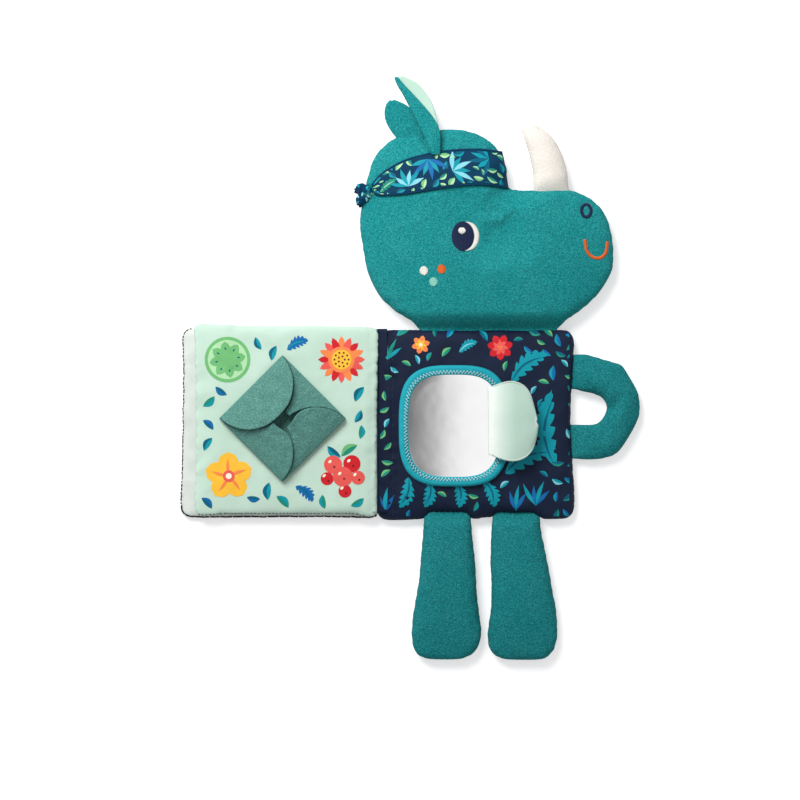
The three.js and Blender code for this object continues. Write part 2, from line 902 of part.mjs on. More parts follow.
// Half of the handle's section as an arch: across, and up from the seam
const archShares = [
  [1, 0.21],
  [0.86, 0.7],
  [0.5, 1],
  [-0.5, 1],
  [-0.86, 0.7],
  [-1, 0.21],
];
const fillWidthShare = 0.95;
const fillHeightShare = 0.9;

function handlePanel(depth) {
  const side = Math.sign(depth);
  const rimZ = handleSeamZ + (side * clothGap) / 2;
  const full = Math.abs(depth) - clothGap / 2;
  const half = handleWidth / 2;
  const inner = half - plushWall;
  const outerLine = archShares.map(([a, h]) => [a * half, rimZ + side * full * h]);
  const arch = archShares.slice(1, -1);
  const innerLine = arch.map(([a, h]) => [a * inner, rimZ + side * (full - plushWall) * h]);
  return handleSweep([
    [half, rimZ],
    ...outerLine,
    [-half, rimZ],
    [-inner, rimZ],
    ...innerLine.reverse(),
    [inner, rimZ],
  ]);
}

function handleStuffing() {
  const half = handleWidth / 2 - plushWall - stuffingGap;
  const arch = (depth) => {
    const rise = depth - Math.sign(depth) * (plushWall + stuffingGap);
    const rows = archShares.slice(1, -1);
    return rows.map(([a, h]) => [a * half * fillWidthShare, handleSeamZ + rise * h * fillHeightShare]);
  };
  return handleSweep([
    [half, handleSeamZ],
    ...arch(handleFrontDepth),
    [-half, handleSeamZ],
    ...arch(-handleBackDepth).reverse(),
  ]);
}

function bindingStrip() {
  const half = bindingThickness / 2;
  const length = leafHeight / 2 - leafCorner;
  const strip = [
    new THREE.Vector2(-half, leafRise - length),
    new THREE.Vector2(half, leafRise - length),
    new THREE.Vector2(half, leafRise + length),
    new THREE.Vector2(-half, leafRise + length),
  ];
  return sheetOf(strip, bindingFoot, bindingTop - bindingFoot);
}

// Assembly
const book = new THREE.Group();
book.name = "crinkle_cloth_book";

const navy = cloth(colours.navy, 0.7);
const plush = cloth(colours.teal, 0.95);
const felt = cloth(colours.felt, 1);

book.add(
  ...paddedPage({
    name: "page",
    outline: pageOutline,
    centre: pageCentre,
    seamZ: pageSeamZ,
    front: pageFrontDepth,
    back: pageBackDepth,
    height: pageHeight,
    cloths: { front: navy, back: plush },
    shape: bindingSeam,
    sheetRoom: bindingSeamDepth,
  }),
  piece("gutter_binding", bindingStrip(), navy),
  piece("mirror_sheet", mirrorSheet(), cloth(colours.mirror, 0.05, 1)),
  piece("mirror_binding", mirrorBinding(), cloth(colours.ring, 0.6)),
  piece("mirror_flap_root", flapRoot(), cloth(colours.mint, 0.6)),
);

const flap = bodyAt("flap", flapFoldX, flapCentreY, mirrorTopZ + flapFoldLift);
flap.rotation.y = rad(-flapRestAngle);
flap.add(
  piece("mirror_flap_lining", flapLayerSolid(-flapLayer - clothGap / 2), cloth(colours.mint, 0.6)),
  piece("mirror_flap_front", flapLayerSolid(clothGap / 2), cloth(colours.mint, 0.6)),
);
book.add(flap);

const cover = bodyAt("cover", 0, 0, turnAxisHeight);
cover.hold(
  ...paddedPage({
    name: "cover",
    outline: coverOutline,
    centre: coverCentre,
    seamZ: coverSeamZ,
    front: coverFrontDepth,
    back: coverBackDepth,
    height: coverHeight,
    cloths: { front: cloth(colours.pale, 0.8), back: plush },
    sheetRoom: 0,
  }),
);
book.add(cover);

const leaf = bodyAt("leaf", 0, 0, turnAxisHeight);
leaf.hold(
  ...paddedPage({
    name: "leaf",
    outline: leafOutline,
    centre: leafCentre,
    seamZ: leafSeamZ,
    front: leafFrontDepth,
    back: leafBackDepth,
    height: leafHeight,
    cloths: { front: cloth(colours.mint, 0.6), back: cloth(colours.pale, 0.6) },
    sheetRoom: 0,
  }),
  piece("pocket_base", pocketBase(), felt),
);
book.add(leaf);

for (const petal of petals) {
  const place = petalPlace(petal.turn);
  book.add(
    bodyAt(petal.name + "_body", place.x, place.y, place.z).hold(
      piece(petal.name, petalSolid(petal), felt),
    ),
  );
}

const head = bodyAt("head", headCentre.x, headBottom, pageTopZ);
head.hold(
  piece(
    "head_front_panel",
    dishPanel({ ...headParts, swell: headSwellShares, depth: headFrontDepth }),
    plush,
  ),
  piece(
    "head_back_panel",
    dishPanel({ ...headParts, swell: backSwellShares, depth: -headBackDepth }),
    plush,
  ),
  piece(
    "head_stuffing",
    lensFilling({ ...headParts, swell: headSwellShares, top: headFrontDepth, bottom: headBackDepth }),
    cloth(colours.wadding, 1),
  ),
  piece("horn", horn(), cloth(colours.cream, 0.95)),
  piece("headband", headband(), navy),
  piece("headband_knot", knot(), navy),
);
book.add(head);

const [earBaseX, earBaseY] = headPoint(earBaseShares);
const earZ = headTop(earBaseX, earBaseY) + earBaseLift;
const nearEar = bodyAt("near_ear", earBaseX, earBaseY, earZ);
const earSheets = [
  ["near_ear_outer", 0, plush],
  ["near_ear_lining", earLayer + clothGap, cloth(colours.lining, 0.8)],
];
nearEar.hold(
  ...earSheets.map(([name, bottom, material]) => {
    const layer = earLayerSolid(earLength, earHalfWidth, earFoldAngle, bottom);
    return piece(name, placeEar(layer, earTurnAngle, earDroopAngle, earBaseX, earBaseY, earZ), material);
  }),
);
book.add(nearEar);

const [farEarBaseX, farEarBaseY] = headPoint(farEarBaseShares);
const farEarTopZ = headSeamZ + 2 * (earLayer + clothGap);
const farEar = bodyAt("far_ear", farEarBaseX, farEarBaseY, farEarTopZ);
const farEarSheets = [
  ["far_ear_outer", 0, plush],
  ["far_ear_lining", earLayer + clothGap, cloth(colours.lining, 0.8)],
];
farEar.hold(
  ...farEarSheets.map(([name, bottom, material]) => {
    const layer = earLayerSolid(farEarLength, farEarHalfWidth, farEarFoldAngle, bottom);
    return piece(name, placeEar(layer, farEarTurnAngle, 0, farEarBaseX, farEarBaseY, headSeamZ), material);
  }),
);
book.add(farEar);

book.add(
  bodyAt("left_leg", leftLegX, legTop, pageTopZ).hold(...leg("left_leg", leftLegX, leftLegLeanAngle)),
  bodyAt("right_leg", rightLegX, legTop, pageTopZ).hold(...leg("right_leg", rightLegX, rightLegLeanAngle)),
  bodyAt("handle", handleStartX, handleCentreY, handleSeamZ + handleFrontDepth).hold(
    piece("handle_front_panel", handlePanel(handleFrontDepth), plush),
    piece("handle_back_panel", handlePanel(-handleBackDepth), plush),
    piece("handle_stuffing", handleStuffing(), cloth(colours.wadding, 1)),
  ),
);

const bounds = new THREE.Box3().setFromObject(book);
const middle = bounds.getCenter(new THREE.Vector3());
book.position.set(-middle.x, -middle.y, -bounds.min.z);

export default book;
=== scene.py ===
# %% [markdown]
# # A crinkle cloth book
#
# This lesson dresses a packed cloth book: padded pages round a gutter, a stuffed rhinoceros head, two legs
# and a loop handle. The frame holds sizes, hinges and places. Everything here is sewn onto that frame.
#
# We load the frame first. Every later size is read from it or given in millimetres from the gutter.

# %% Load the frame
import json
import math
import random
import bpy
import numpy as np
from mathutils import Matrix, Vector, noise
from mathutils.bvhtree import BVHTree
from mathutils.geometry import delaunay_2d_cdt


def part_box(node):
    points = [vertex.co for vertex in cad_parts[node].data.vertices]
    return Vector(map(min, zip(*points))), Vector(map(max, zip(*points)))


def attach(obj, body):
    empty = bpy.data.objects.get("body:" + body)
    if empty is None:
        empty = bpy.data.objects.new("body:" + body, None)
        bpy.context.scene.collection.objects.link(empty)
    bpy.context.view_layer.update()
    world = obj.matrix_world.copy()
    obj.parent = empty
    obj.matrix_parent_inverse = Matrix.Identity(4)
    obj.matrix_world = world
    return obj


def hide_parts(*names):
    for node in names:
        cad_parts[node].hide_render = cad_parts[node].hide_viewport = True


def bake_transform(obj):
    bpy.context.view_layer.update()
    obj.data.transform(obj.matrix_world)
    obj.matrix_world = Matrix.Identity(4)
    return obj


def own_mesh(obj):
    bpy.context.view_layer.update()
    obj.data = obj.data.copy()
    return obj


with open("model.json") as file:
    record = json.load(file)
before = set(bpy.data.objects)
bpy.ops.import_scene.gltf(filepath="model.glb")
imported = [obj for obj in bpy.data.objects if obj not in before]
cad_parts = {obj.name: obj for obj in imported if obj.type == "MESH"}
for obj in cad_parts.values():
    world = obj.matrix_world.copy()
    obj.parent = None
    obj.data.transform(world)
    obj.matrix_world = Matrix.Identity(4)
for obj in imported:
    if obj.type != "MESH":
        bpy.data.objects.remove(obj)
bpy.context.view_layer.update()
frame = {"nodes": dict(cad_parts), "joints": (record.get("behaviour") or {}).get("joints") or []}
MM = 0.001
gutter_low, gutter_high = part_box("gutter_binding")
page_low, page_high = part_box("page_front_panel")
GUTTER_X = (gutter_low.x + gutter_high.x) / 2
PAGE_Y = (page_low.y + page_high.y) / 2


def at(x, y, z=0.0):
    """A point given in millimetres from the middle of the gutter, on the surface that the book lies on."""
    return Vector((GUTTER_X + x * MM, PAGE_Y + y * MM, z * MM))


def from_gutter(x, y):
    """The opposite of at: a place in the frame as millimetres from the middle of the gutter."""
    return (x - GUTTER_X) / MM, (y - PAGE_Y) / MM


def top_of(node):
    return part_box(node)[1].z


def rough(x, y, z):
    """Smooth noise between -1 and 1 at a place."""
    return noise.noise(Vector((x, y, z)))


def joint_of(body):
    return next(joint for joint in frame["joints"] if joint["child"] == body)


# %% [markdown]
# ## Camera, floor and light
#
# A product picture from straight above is nearly free of perspective, so the camera is a long lens far away.
# The floor is white to the camera and plain grey-white to everything else, so it stays white and still
# takes the soft shadow of the toy. The world is an even dome. Only glossy rays see it change from grey on the
# left to white on the right, as a studio does behind a mirror.

# %% Camera
PHOTO_SCALE = 0.808 * MM
PHOTO_WIDTH = 800
LENS, SENSOR = 135, 36
view_centre = at(18.2, 19.4, 12)
camera_data = bpy.data.cameras.new("camera")
camera_data.lens, camera_data.sensor_width = LENS, SENSOR
camera = bpy.data.objects.new("camera", camera_data)
view_distance = PHOTO_SCALE * PHOTO_WIDTH * LENS / SENSOR
camera.location = view_centre + Vector((0, 0, view_distance))
bpy.context.scene.collection.objects.link(camera)
bpy.context.scene.camera = camera
bpy.context.scene.view_settings.view_transform = "Standard"
print("camera stands", round(view_distance, 3), "m above the book")


# %% [markdown]
# ## Shader sums as Python sums
#
# A material is easier to read as a formula than as a list of links. The class below wraps a socket, so that
# `1 - mask * 0.3` adds its own Math nodes. All other nodes come from one function, which takes the node's
# kind, what goes into its sockets and its settings.

# %% Sockets that add up
class Value:
    """One output of a node, which takes part in sums."""

    def __init__(self, tree, socket):
        self.tree, self.socket = tree, socket

    def math(self, operation, *others):
        return add_node(self.tree, "Math", dict(enumerate((self, *others))), operation=operation)

    def __add__(self, other):
        return self.math("ADD", other)

    def __sub__(self, other):
        return self.math("SUBTRACT", other)

    def __mul__(self, other):
        return self.math("MULTIPLY", other)

    def __rsub__(self, other):
        return add_node(self.tree, "Math", {0: other, 1: self}, operation="SUBTRACT")

    __radd__, __rmul__ = __add__, __mul__


def add_node(tree, kind, inputs=None, output=0, **settings):
    """Adds a shader node, sets it, joins it up and returns one of its outputs as a Value."""
    node = tree.nodes.new("ShaderNode" + kind)
    for key, setting in settings.items():
        if key == "stops":
            ramp = node.color_ramp
            while len(ramp.elements) < len(setting):
                ramp.elements.new(0.5)
            for element, (position, colour) in zip(ramp.elements, setting):
                element.position, element.color = position, (*colour, 1)
        else:
            setattr(node, key, setting)
    for key, value in (inputs or {}).items():
        if isinstance(value, Value):
            tree.links.new(value.socket, node.inputs[key])
        else:
            node.inputs[key].default_value = value
    return Value(tree, node.outputs[output])


def linear(red, green, blue):
    """A screen colour, 0 to 255, as the linear colour that shaders work in."""
    scaled = [c / 255 for c in (red, green, blue)]
    return tuple(c / 12.92 if c <= 0.04045 else ((c + 0.055) / 1.055) ** 2.4 for c in scaled)


print("sums add nodes")

# %% [markdown]
# A cloth is a material with a few words of its own: grain is noise of a given size, mix lays one colour in
# another, sharpen stretches a value, bump raises the surface.

# %% A cloth's material
class Cloth:
    """A material for one kind of cloth, thread or film."""

    def __init__(self, name, roughness, sheen=0.0, sheen_tint=(1, 1, 1), metallic=0.0, specular=0.12):
        self.data = bpy.data.materials.new(name)
        self.data.use_nodes = True
        self.tree = self.data.node_tree
        self.shader = self.tree.nodes["Principled BSDF"]
        sockets = self.shader.inputs
        sockets["Roughness"].default_value = roughness
        sockets["Sheen Weight"].default_value = sheen
        sockets["Sheen Roughness"].default_value = 0.35
        sockets["Sheen Tint"].default_value = (*sheen_tint, 1)
        sockets["Metallic"].default_value = metallic
        sockets["Specular IOR Level"].default_value = specular
        self.place = self.node("TexCoord", output="Object")

    def node(self, kind, inputs=None, output=0, **settings):
        return add_node(self.tree, kind, inputs, output, **settings)

    def grain(self, size, detail=2.0, roughness=0.5):
        """Noise whose grains are about size metres wide, from 0 to 1."""
        values = {"Vector": self.place, "Scale": 1 / size, "Detail": detail, "Roughness": roughness}
        return self.node("TexNoise", values)

    def mix(self, share, first, second):
        """One colour in the other, in the given share."""
        first, second = ((*c, 1) if isinstance(c, tuple) else c for c in (first, second))
        return self.node("Mix", {0: share, 6: first, 7: second}, output=2, data_type="RGBA")

    def sharpen(self, value, low, high):
        """The value mapped so that low becomes 0 and high becomes 1."""
        return self.node("MapRange", {0: value, 1: low, 2: high}, clamp=True)

    def colour(self, value):
        self.set("Base Color", (*value, 1) if isinstance(value, tuple) else value)

    def bump(self, height, distance, strength=1.0):
        values = {"Height": height, "Distance": distance, "Strength": strength}
        self.set("Normal", self.node("Bump", values))

    def set(self, socket, value):
        if isinstance(value, Value):
            self.tree.links.new(value.socket, self.shader.inputs[socket])
        else:
            self.shader.inputs[socket].default_value = value


print("cloths have grain, mix, sharpen and bump")


# %% [markdown]
# The floor mixes two shaders by what kind of ray meets it. The camera, and rays that come off the mirror,
# see a little glow added to the grey, which brings the paper to white and leaves the shadow on it.

# %% Floor
PAPER_GREY = linear(226, 226, 228)
GLOW_COLOUR, GLOW_STRENGTH = (1, 0.99, 0.985), 0.5


def paper():
    material = bpy.data.materials.new("white_paper")
    material.use_nodes = True
    tree = material.node_tree
    tree.nodes.clear()
    camera_ray = add_node(tree, "LightPath", output="Is Camera Ray")
    seen = camera_ray + add_node(tree, "LightPath", output="Is Glossy Ray")
    matt = add_node(tree, "BsdfDiffuse", {"Color": (*PAPER_GREY, 1)})
    glow = add_node(tree, "Emission", {"Color": (*GLOW_COLOUR, 1), "Strength": GLOW_STRENGTH})
    white = add_node(tree, "AddShader", {0: matt, 1: glow})
    both = add_node(tree, "MixShader", {0: seen, 1: matt, 2: white})
    result = tree.nodes.new("ShaderNodeOutputMaterial")
    tree.links.new(both.socket, result.inputs["Surface"])
    return material


FLOOR_HALF = 3.0
FLOOR_DROP = 0.2 * MM
floor_mesh = bpy.data.meshes.new("floor")
corners = [(FLOOR_HALF * x, FLOOR_HALF * y, -FLOOR_DROP) for x, y in ((-1, -1), (1, -1), (1, 1), (-1, 1))]
floor_mesh.from_pydata(corners, [], [(0, 1, 2, 3)])
floor_mesh.materials.append(paper())
floor = bpy.data.objects.new("floor", floor_mesh)
bpy.context.scene.collection.objects.link(floor)
print("floor", 2 * FLOOR_HALF, "m wide")


# %% [markdown]
# One broad soft lamp from the top left gives the long soft shadows at the lower right, and the dome fills
# the rest. Their levels are set so that a colour renders about as it is written.

# %% World and lamp
DOME_COLOUR = (0.93, 0.94, 0.95)
DOME_STRENGTH = 0.46
MIRRORED_FROM, MIRRORED_TO = -0.13, 0.06  # how far to the side the grey and the white end lie
MIRRORED_LEVELS = ((0, 0.2), (0.23, 0.28), (0.42, 0.54), (0.6, 0.8), (0.8, 0.95), (1, 0.98))


def dome():
    world = bpy.data.worlds.new("dome")
    world.use_nodes = True
    tree = world.node_tree
    tree.nodes.clear()
    across = add_node(tree, "SeparateXYZ", {0: add_node(tree, "TexCoord", output="Generated")})
    share = add_node(tree, "MapRange", {0: across, 1: MIRRORED_FROM, 2: MIRRORED_TO})
    stops = [(p, (level, level, level)) for p, level in MIRRORED_LEVELS]
    level = add_node(tree, "ValToRGB", {0: share}, stops=stops)
    light = add_node(tree, "Background", {"Color": (*DOME_COLOUR, 1), "Strength": DOME_STRENGTH})
    mirrored = add_node(tree, "Background", {"Color": level, "Strength": 1.0})
    glossy = add_node(tree, "LightPath", output="Is Glossy Ray")
    both = add_node(tree, "MixShader", {0: glossy, 1: light, 2: mirrored})
    result = tree.nodes.new("ShaderNodeOutputWorld")
    tree.links.new(both.socket, result.inputs["Surface"])
    bpy.context.scene.world = world


def soft_lamp(name, place, size, power):
    data = bpy.data.lights.new(name, "AREA")
    data.shape, data.size, data.energy = "DISK", size, power
    lamp = bpy.data.objects.new(name, data)
    lamp.location = view_centre + Vector(place)
    lamp.rotation_euler = (-Vector(place)).to_track_quat("-Z", "Y").to_euler()
    bpy.context.scene.collection.objects.link(lamp)


WINDOW_PLACE, WINDOW_SIZE, WINDOW_POWER = (-0.5, 0.92, 0.98), 0.84, 21.6
dome()
soft_lamp("window", WINDOW_PLACE, WINDOW_SIZE, WINDOW_POWER)
print("a dome and one lamp")


# %% [markdown]
# ## Cloths
#
# Short-pile plush is matt with a pale bloom at its edges, and its pile shows as fine speckles of lighter and
# darker teal, so two sizes of noise go into its colour and one into its surface. Printed cloth is smoother and
# takes a soft gloss. Felt is coarser again, with fibres of two colours. The legs and the handle get a darker
# copy of the same plush, which paints in the shade that falls on them.

# %% Plush, woven cloth, felt
def plush(name, colour, dark, pale, pile=1.25 * MM):
    cloth = Cloth(name, roughness=0.95, sheen=0.08, sheen_tint=pale)
    speckle = cloth.sharpen(cloth.grain(pile, 3.0, 0.65), 0.36, 0.66)
    nap = cloth.sharpen(cloth.grain(26 * MM, 2.0), 0.3, 0.7)
    body = cloth.mix(nap * 0.16, colour, pale)
    body = cloth.mix(speckle * 0.85, body, dark)
    glint = cloth.sharpen(cloth.grain(0.75 * pile, 2.0, 0.6), 0.54, 0.68)
    cloth.colour(cloth.mix(glint * 0.55, body, pale))
    cloth.bump(cloth.grain(0.9 * pile, 3.0, 0.7) + nap * 0.4, 0.9 * MM, 1.0)
    return cloth.data


WAVE_OF_ONE = 0.32  # a wave node's bands are about this wide at a scale of 1
WOVEN_THREAD = 0.42 * MM


def woven(name, colour, shade, roughness=0.62):
    cloth = Cloth(name, roughness=roughness, sheen=0.04)
    values = {"Vector": cloth.place, "Scale": WAVE_OF_ONE / WOVEN_THREAD}
    weft, warp = (
        cloth.node("TexWave", values, output=1, wave_type="BANDS", bands_direction=direction)
        for direction in ("X", "Y")
    )
    soft = cloth.sharpen(cloth.grain(38 * MM, 3.0), 0.3, 0.72)
    cloth.colour(cloth.mix(soft * 0.55 + weft * 0.08, colour, shade))
    cloth.bump(weft * 0.5 + warp * 0.5 + cloth.grain(5 * MM, 3.0) * 2.0, 0.12 * MM, 0.7)
    return cloth.data


def needle_felt(name, colour, dark, pale):
    cloth = Cloth(name, roughness=1.0, sheen=0.25, sheen_tint=pale)
    fibre = cloth.sharpen(cloth.grain(1.1 * MM, 4.0, 0.7), 0.38, 0.64)
    patch = cloth.sharpen(cloth.grain(9 * MM, 2.0), 0.32, 0.7)
    body = cloth.mix(fibre * 0.8 + patch * 0.15, colour, dark)
    hair = cloth.sharpen(cloth.grain(0.9 * MM, 3.0, 0.7), 0.54, 0.68)
    cloth.colour(cloth.mix(hair * 0.7, body, pale))
    cloth.bump(cloth.grain(1.1 * MM, 4.0, 0.75), 1.0 * MM, 1.0)
    return cloth.data


def thread_of(name, colour, shade):
    cloth = Cloth(name, roughness=0.55, sheen=0.15)
    ply = cloth.grain(0.35 * MM, 2.0)
    cloth.colour(cloth.mix(ply * 0.7, colour, shade))
    cloth.bump(ply, 0.15 * MM, 0.6)
    return cloth.data


teal_plush = plush("teal_plush", linear(26, 150, 152), linear(3, 100, 104), linear(80, 190, 188))
# painted shade: a darker copy of the teal plush for the legs and the handle, standing in for the shade on them
painted_shade_limb_plush = plush("painted_shade_limb_plush", linear(25, 135, 138), linear(3, 90, 95), linear(72, 170, 170))
cream_colours = linear(247, 240, 231), linear(236, 228, 217), linear(252, 249, 244)
cream_plush = plush("cream_plush", *cream_colours, pile=1.1 * MM)
navy_cloth = woven("navy_cloth", linear(15, 25, 48), linear(28, 40, 66), 0.55)
pale_cloth = woven("pale_cloth", linear(217, 224, 217), linear(202, 211, 204))
mint_cloth = woven("mint_cloth", linear(198, 223, 207), linear(185, 214, 195))
lining_cloth = woven("lining_cloth", linear(192, 220, 204), linear(164, 198, 182))
ring_cloth = woven("ring_cloth", linear(34, 168, 182), linear(22, 146, 164), 0.55)
felt = needle_felt("felt", linear(100, 156, 145), linear(62, 116, 108), linear(156, 200, 190))
print("cloths:", [m.name for m in bpy.data.materials])


# %% [markdown]
# ## Patterns, seams and stuffing
#
# A real pad is two flat panels sewn along their rim and then filled. We do the same: the rim of each pad is
# read from its panel in the frame, both panels are cut as even triangles with one shared rim, and a cloth
# simulation blows air in. The rim draws in and puckers by itself. Afterwards the pad is fitted to the
# heights that the frame gives, so it never leaves its place.

# %% The rim of a panel
SAME_RAY, SAME_HEIGHT = 0.004, 0.02 * MM


def rim_of(node):
    """The outer rim of a padded panel, anticlockwise. Cloth has two sides, so each ray meets two points."""
    mesh = frame["nodes"][node].data
    co = np.array([v.co for v in mesh.vertices])
    front = "front" in node
    rim_z, crown_z = sorted((co[:, 2].min(), co[:, 2].max()), reverse=not front)
    corners = co[[i for polygon in mesh.polygons for i in polygon.vertices]]
    crown = corners[abs(corners[:, 2] - crown_z) < SAME_HEIGHT][:, :2]
    spots, uses = np.unique(crown.round(6), axis=0, return_counts=True)
    middle = spots[uses.argmax()]
    rim = co[abs(co[:, 2] - rim_z) < SAME_HEIGHT][:, :2] - middle
    angles = np.arctan2(rim[:, 1], rim[:, 0])
    order = np.argsort(angles)
    rays = np.split(order, np.flatnonzero(np.diff(angles[order]) > SAME_RAY) + 1)
    return np.array([max(rim[ray], key=lambda p: math.hypot(*p)) for ray in rays]) + middle


print("head rim has", len(rim_of("head_front_panel")), "points")


# %% [markdown]
# Lines through given points run smoothly and are then walked in equal steps. Loops are lines that close.

# %% Lines and loops
LOOP_PARTS, LINE_PARTS = 8, 16  # parts that a curve is drawn in between two given points


def curve_point(p, q, r, s, t):
    """A smooth curve's point at share t of the way from q to r. p comes before them and s after."""
    return (2 * q + (r - p) * t + (2 * p - 5 * q + 4 * r - s) * t**2 + (3 * q - p - 3 * r + s) * t**3) / 2


def units(rows):
    """The rows divided by their lengths."""
    return rows / np.linalg.norm(rows, axis=-1, keepdims=True)


def length_of(line):
    return float(np.linalg.norm(np.diff(line, axis=0), axis=1).sum())


def equal_steps(line, count, closed=False):
    """count points in equal steps along a line. A closed line ends with its first point."""
    passed = np.concatenate([[0], np.cumsum(np.linalg.norm(np.diff(line, axis=0), axis=1))])
    steps = np.linspace(0, passed[-1], count, endpoint=not closed)
    return np.stack([np.interp(steps, passed, column) for column in line.T], axis=1)


def even_loop(points, spacing, smooth=True):
    """A closed line through the points in equal steps."""
    points = np.asarray(points)
    line = []
    for p, q, r, s in zip(*(np.roll(points, k, axis=0) for k in (1, 0, -1, -2))):
        for t in np.linspace(0, 1, LOOP_PARTS, endpoint=False):
            line.append(curve_point(p, q, r, s, t) if smooth else q + (r - q) * t)
    line = np.array([*line, line[0]])
    return equal_steps(line, max(8, round(length_of(line) / spacing)), closed=True)


def rounded_loop(points, spread, step=1 * MM):
    """A closed line in equal steps whose corners are averaged over the given spread."""
    line = even_loop(points, step, smooth=False)
    index = np.arange(len(line))
    away = np.minimum(index, len(line) - index) * step
    weight = np.exp(-0.5 * (away / spread) ** 2)
    spectrum = np.fft.rfft(line, axis=0) * np.fft.rfft(weight / weight.sum())[:, None]
    return np.fft.irfft(spectrum, n=len(line), axis=0)


def inside(points, loop):
    """Which points lie inside the loop."""
    nxt = np.roll(loop, -1, axis=0)
    x, y = points[:, 0, None], points[:, 1, None]
    spans = (loop[:, 1] > y) != (nxt[:, 1] > y)
    rise = np.where(nxt[:, 1] == loop[:, 1], 1, nxt[:, 1] - loop[:, 1])
    crossing = loop[:, 0] + (nxt[:, 0] - loop[:, 0]) * (y - loop[:, 1]) / rise
    return (spans & (x < crossing)).sum(axis=1) % 2 == 1


print("a loop through four corners:", len(even_loop(((0, 0), (1, 0), (1, 1), (0, 1)), 0.1)), "points")


# %% [markdown]
# Every piece but the felt is built from its vertices and faces by the first function below.

# %% Meshes
def add_mesh(name, vertices, faces, materials, smooth=True, panels=None):
    mesh = bpy.data.meshes.new(name)
    mesh.from_pydata([tuple(v) for v in vertices], [], faces)
    for material in materials if isinstance(materials, (list, tuple)) else [materials]:
        mesh.materials.append(material)
    for polygon in mesh.polygons:
        polygon.use_smooth = smooth
        if panels is not None:
            polygon.material_index = panels[polygon.index]
    obj = bpy.data.objects.new(name, mesh)
    bpy.context.scene.collection.objects.link(obj)
    return obj


def points_of(mesh):
    co = np.empty(len(mesh.vertices) * 3)
    mesh.vertices.foreach_get("co", co)
    return co.reshape(-1, 3)


def coordinates(obj):
    return points_of(obj.data)


def vertex_normals(obj):
    return np.array([v.normal for v in obj.data.vertices])


def place_vertices(obj, co):
    obj.data.vertices.foreach_set("co", np.asarray(co, float).ravel())
    obj.data.update()


print("meshes are ready")


# %% [markdown]
# The inner points lie on a lattice of equal triangles, which has no favoured direction, so creases run as
# they like. A little noise in the first heights tells the air where to start.

# %% Cut and sew a pad
START_LIFT, LIFT_GRAIN = 1.2 * MM, 9 * MM
OFF_RIM = 0.6  # how far inner points keep from the rim, in spacings


def triangles_in(loop, spacing):
    """Even triangles inside a loop: the points, the loop's own first, and the corners of each triangle."""
    low, high = loop.min(axis=0), loop.max(axis=0)
    row = spacing * math.sqrt(3) / 2
    lattice = np.array([
        (low[0] + (i + 0.5 * (j % 2)) * spacing, low[1] + j * row)
        for j in range(int((high[1] - low[1]) / row) + 1)
        for i in range(int((high[0] - low[0]) / spacing) + 2)
    ])
    lattice = lattice[inside(lattice, loop)]
    gap = np.linalg.norm(lattice[:, None] - loop[None], axis=2).min(axis=1, initial=1)
    points = [Vector(p) for p in [*loop, *lattice[gap > OFF_RIM * spacing]]]
    outcome = delaunay_2d_cdt(points, [], [list(range(len(loop)))], 1, 1e-7)
    return outcome[0], [tuple(t) for t in outcome[2]]


def sew(name, loop, spacing, materials):
    """Two panels of even triangles with one rim. The rim's vertices come first, then the front's."""
    flat, triangles = triangles_in(loop, spacing)
    rim, inner = len(loop), len(flat) - len(loop)
    lift = [START_LIFT * (1 + 0.5 * noise.noise(p.to_3d() / LIFT_GRAIN)) for p in flat[rim:]]
    vertices = [(p.x, p.y, 0) for p in flat[:rim]]
    vertices += [(p.x, p.y, z) for p, z in zip(flat[rim:], lift)]
    vertices += [(p.x, p.y, -z) for p, z in zip(flat[rim:], lift)]
    back = [tuple(i if i < rim else i + inner for i in reversed(t)) for t in triangles]
    panels = [0] * len(triangles) + [len(materials) - 1] * len(back)
    pad = add_mesh(name, vertices, triangles + back, materials, panels=panels)
    pad["rim"] = rim
    return pad


print("sewing is ready")


# %% [markdown]
# All pads are simulated in one run of twenty frames, without gravity.

# %% Blow up pads
PRESSURE, FRAMES = 4.0, 20


def blow_up(pads):
    """Simulates the pads together and returns where their vertices end."""
    start = {pad.name: coordinates(pad) for pad in pads}
    for pad in pads:
        cloth = pad.modifiers.new("cloth", "CLOTH")
        cloth.point_cache.frame_start, cloth.point_cache.frame_end = 1, FRAMES
        settings = cloth.settings
        settings.quality, settings.mass = 6, 0.15
        settings.tension_stiffness = settings.compression_stiffness = 12
        settings.shear_stiffness, settings.bending_stiffness = 5, 0.05
        settings.use_pressure, settings.uniform_pressure_force = True, PRESSURE
        settings.effector_weights.gravity = 0
    for step in range(1, FRAMES + 1):
        bpy.context.scene.frame_set(step)
    graph = bpy.context.evaluated_depsgraph_get()
    ends = {pad.name: points_of(pad.evaluated_get(graph).to_mesh()) for pad in pads}
    for pad in pads:
        pad.modifiers.clear()
    bpy.context.scene.frame_set(1)
    return ends


print("air is ready")


# %% [markdown]
# Air draws a pad in all round, as filling does, and a real one is cut larger for that. Fitting first brings
# it back to its width and height, which leaves the puckers, and then caps how far a point may slide. A power
# below one turns the dome that air makes into the flatter, fuller top of a pad with wadding in it.

# %% Fit a pad to its place
SIDES, CROWN = (9, 91), 99  # percent of the points
BACK_FULLNESS, RIM_WAVE = 0.3, 1.2 * MM


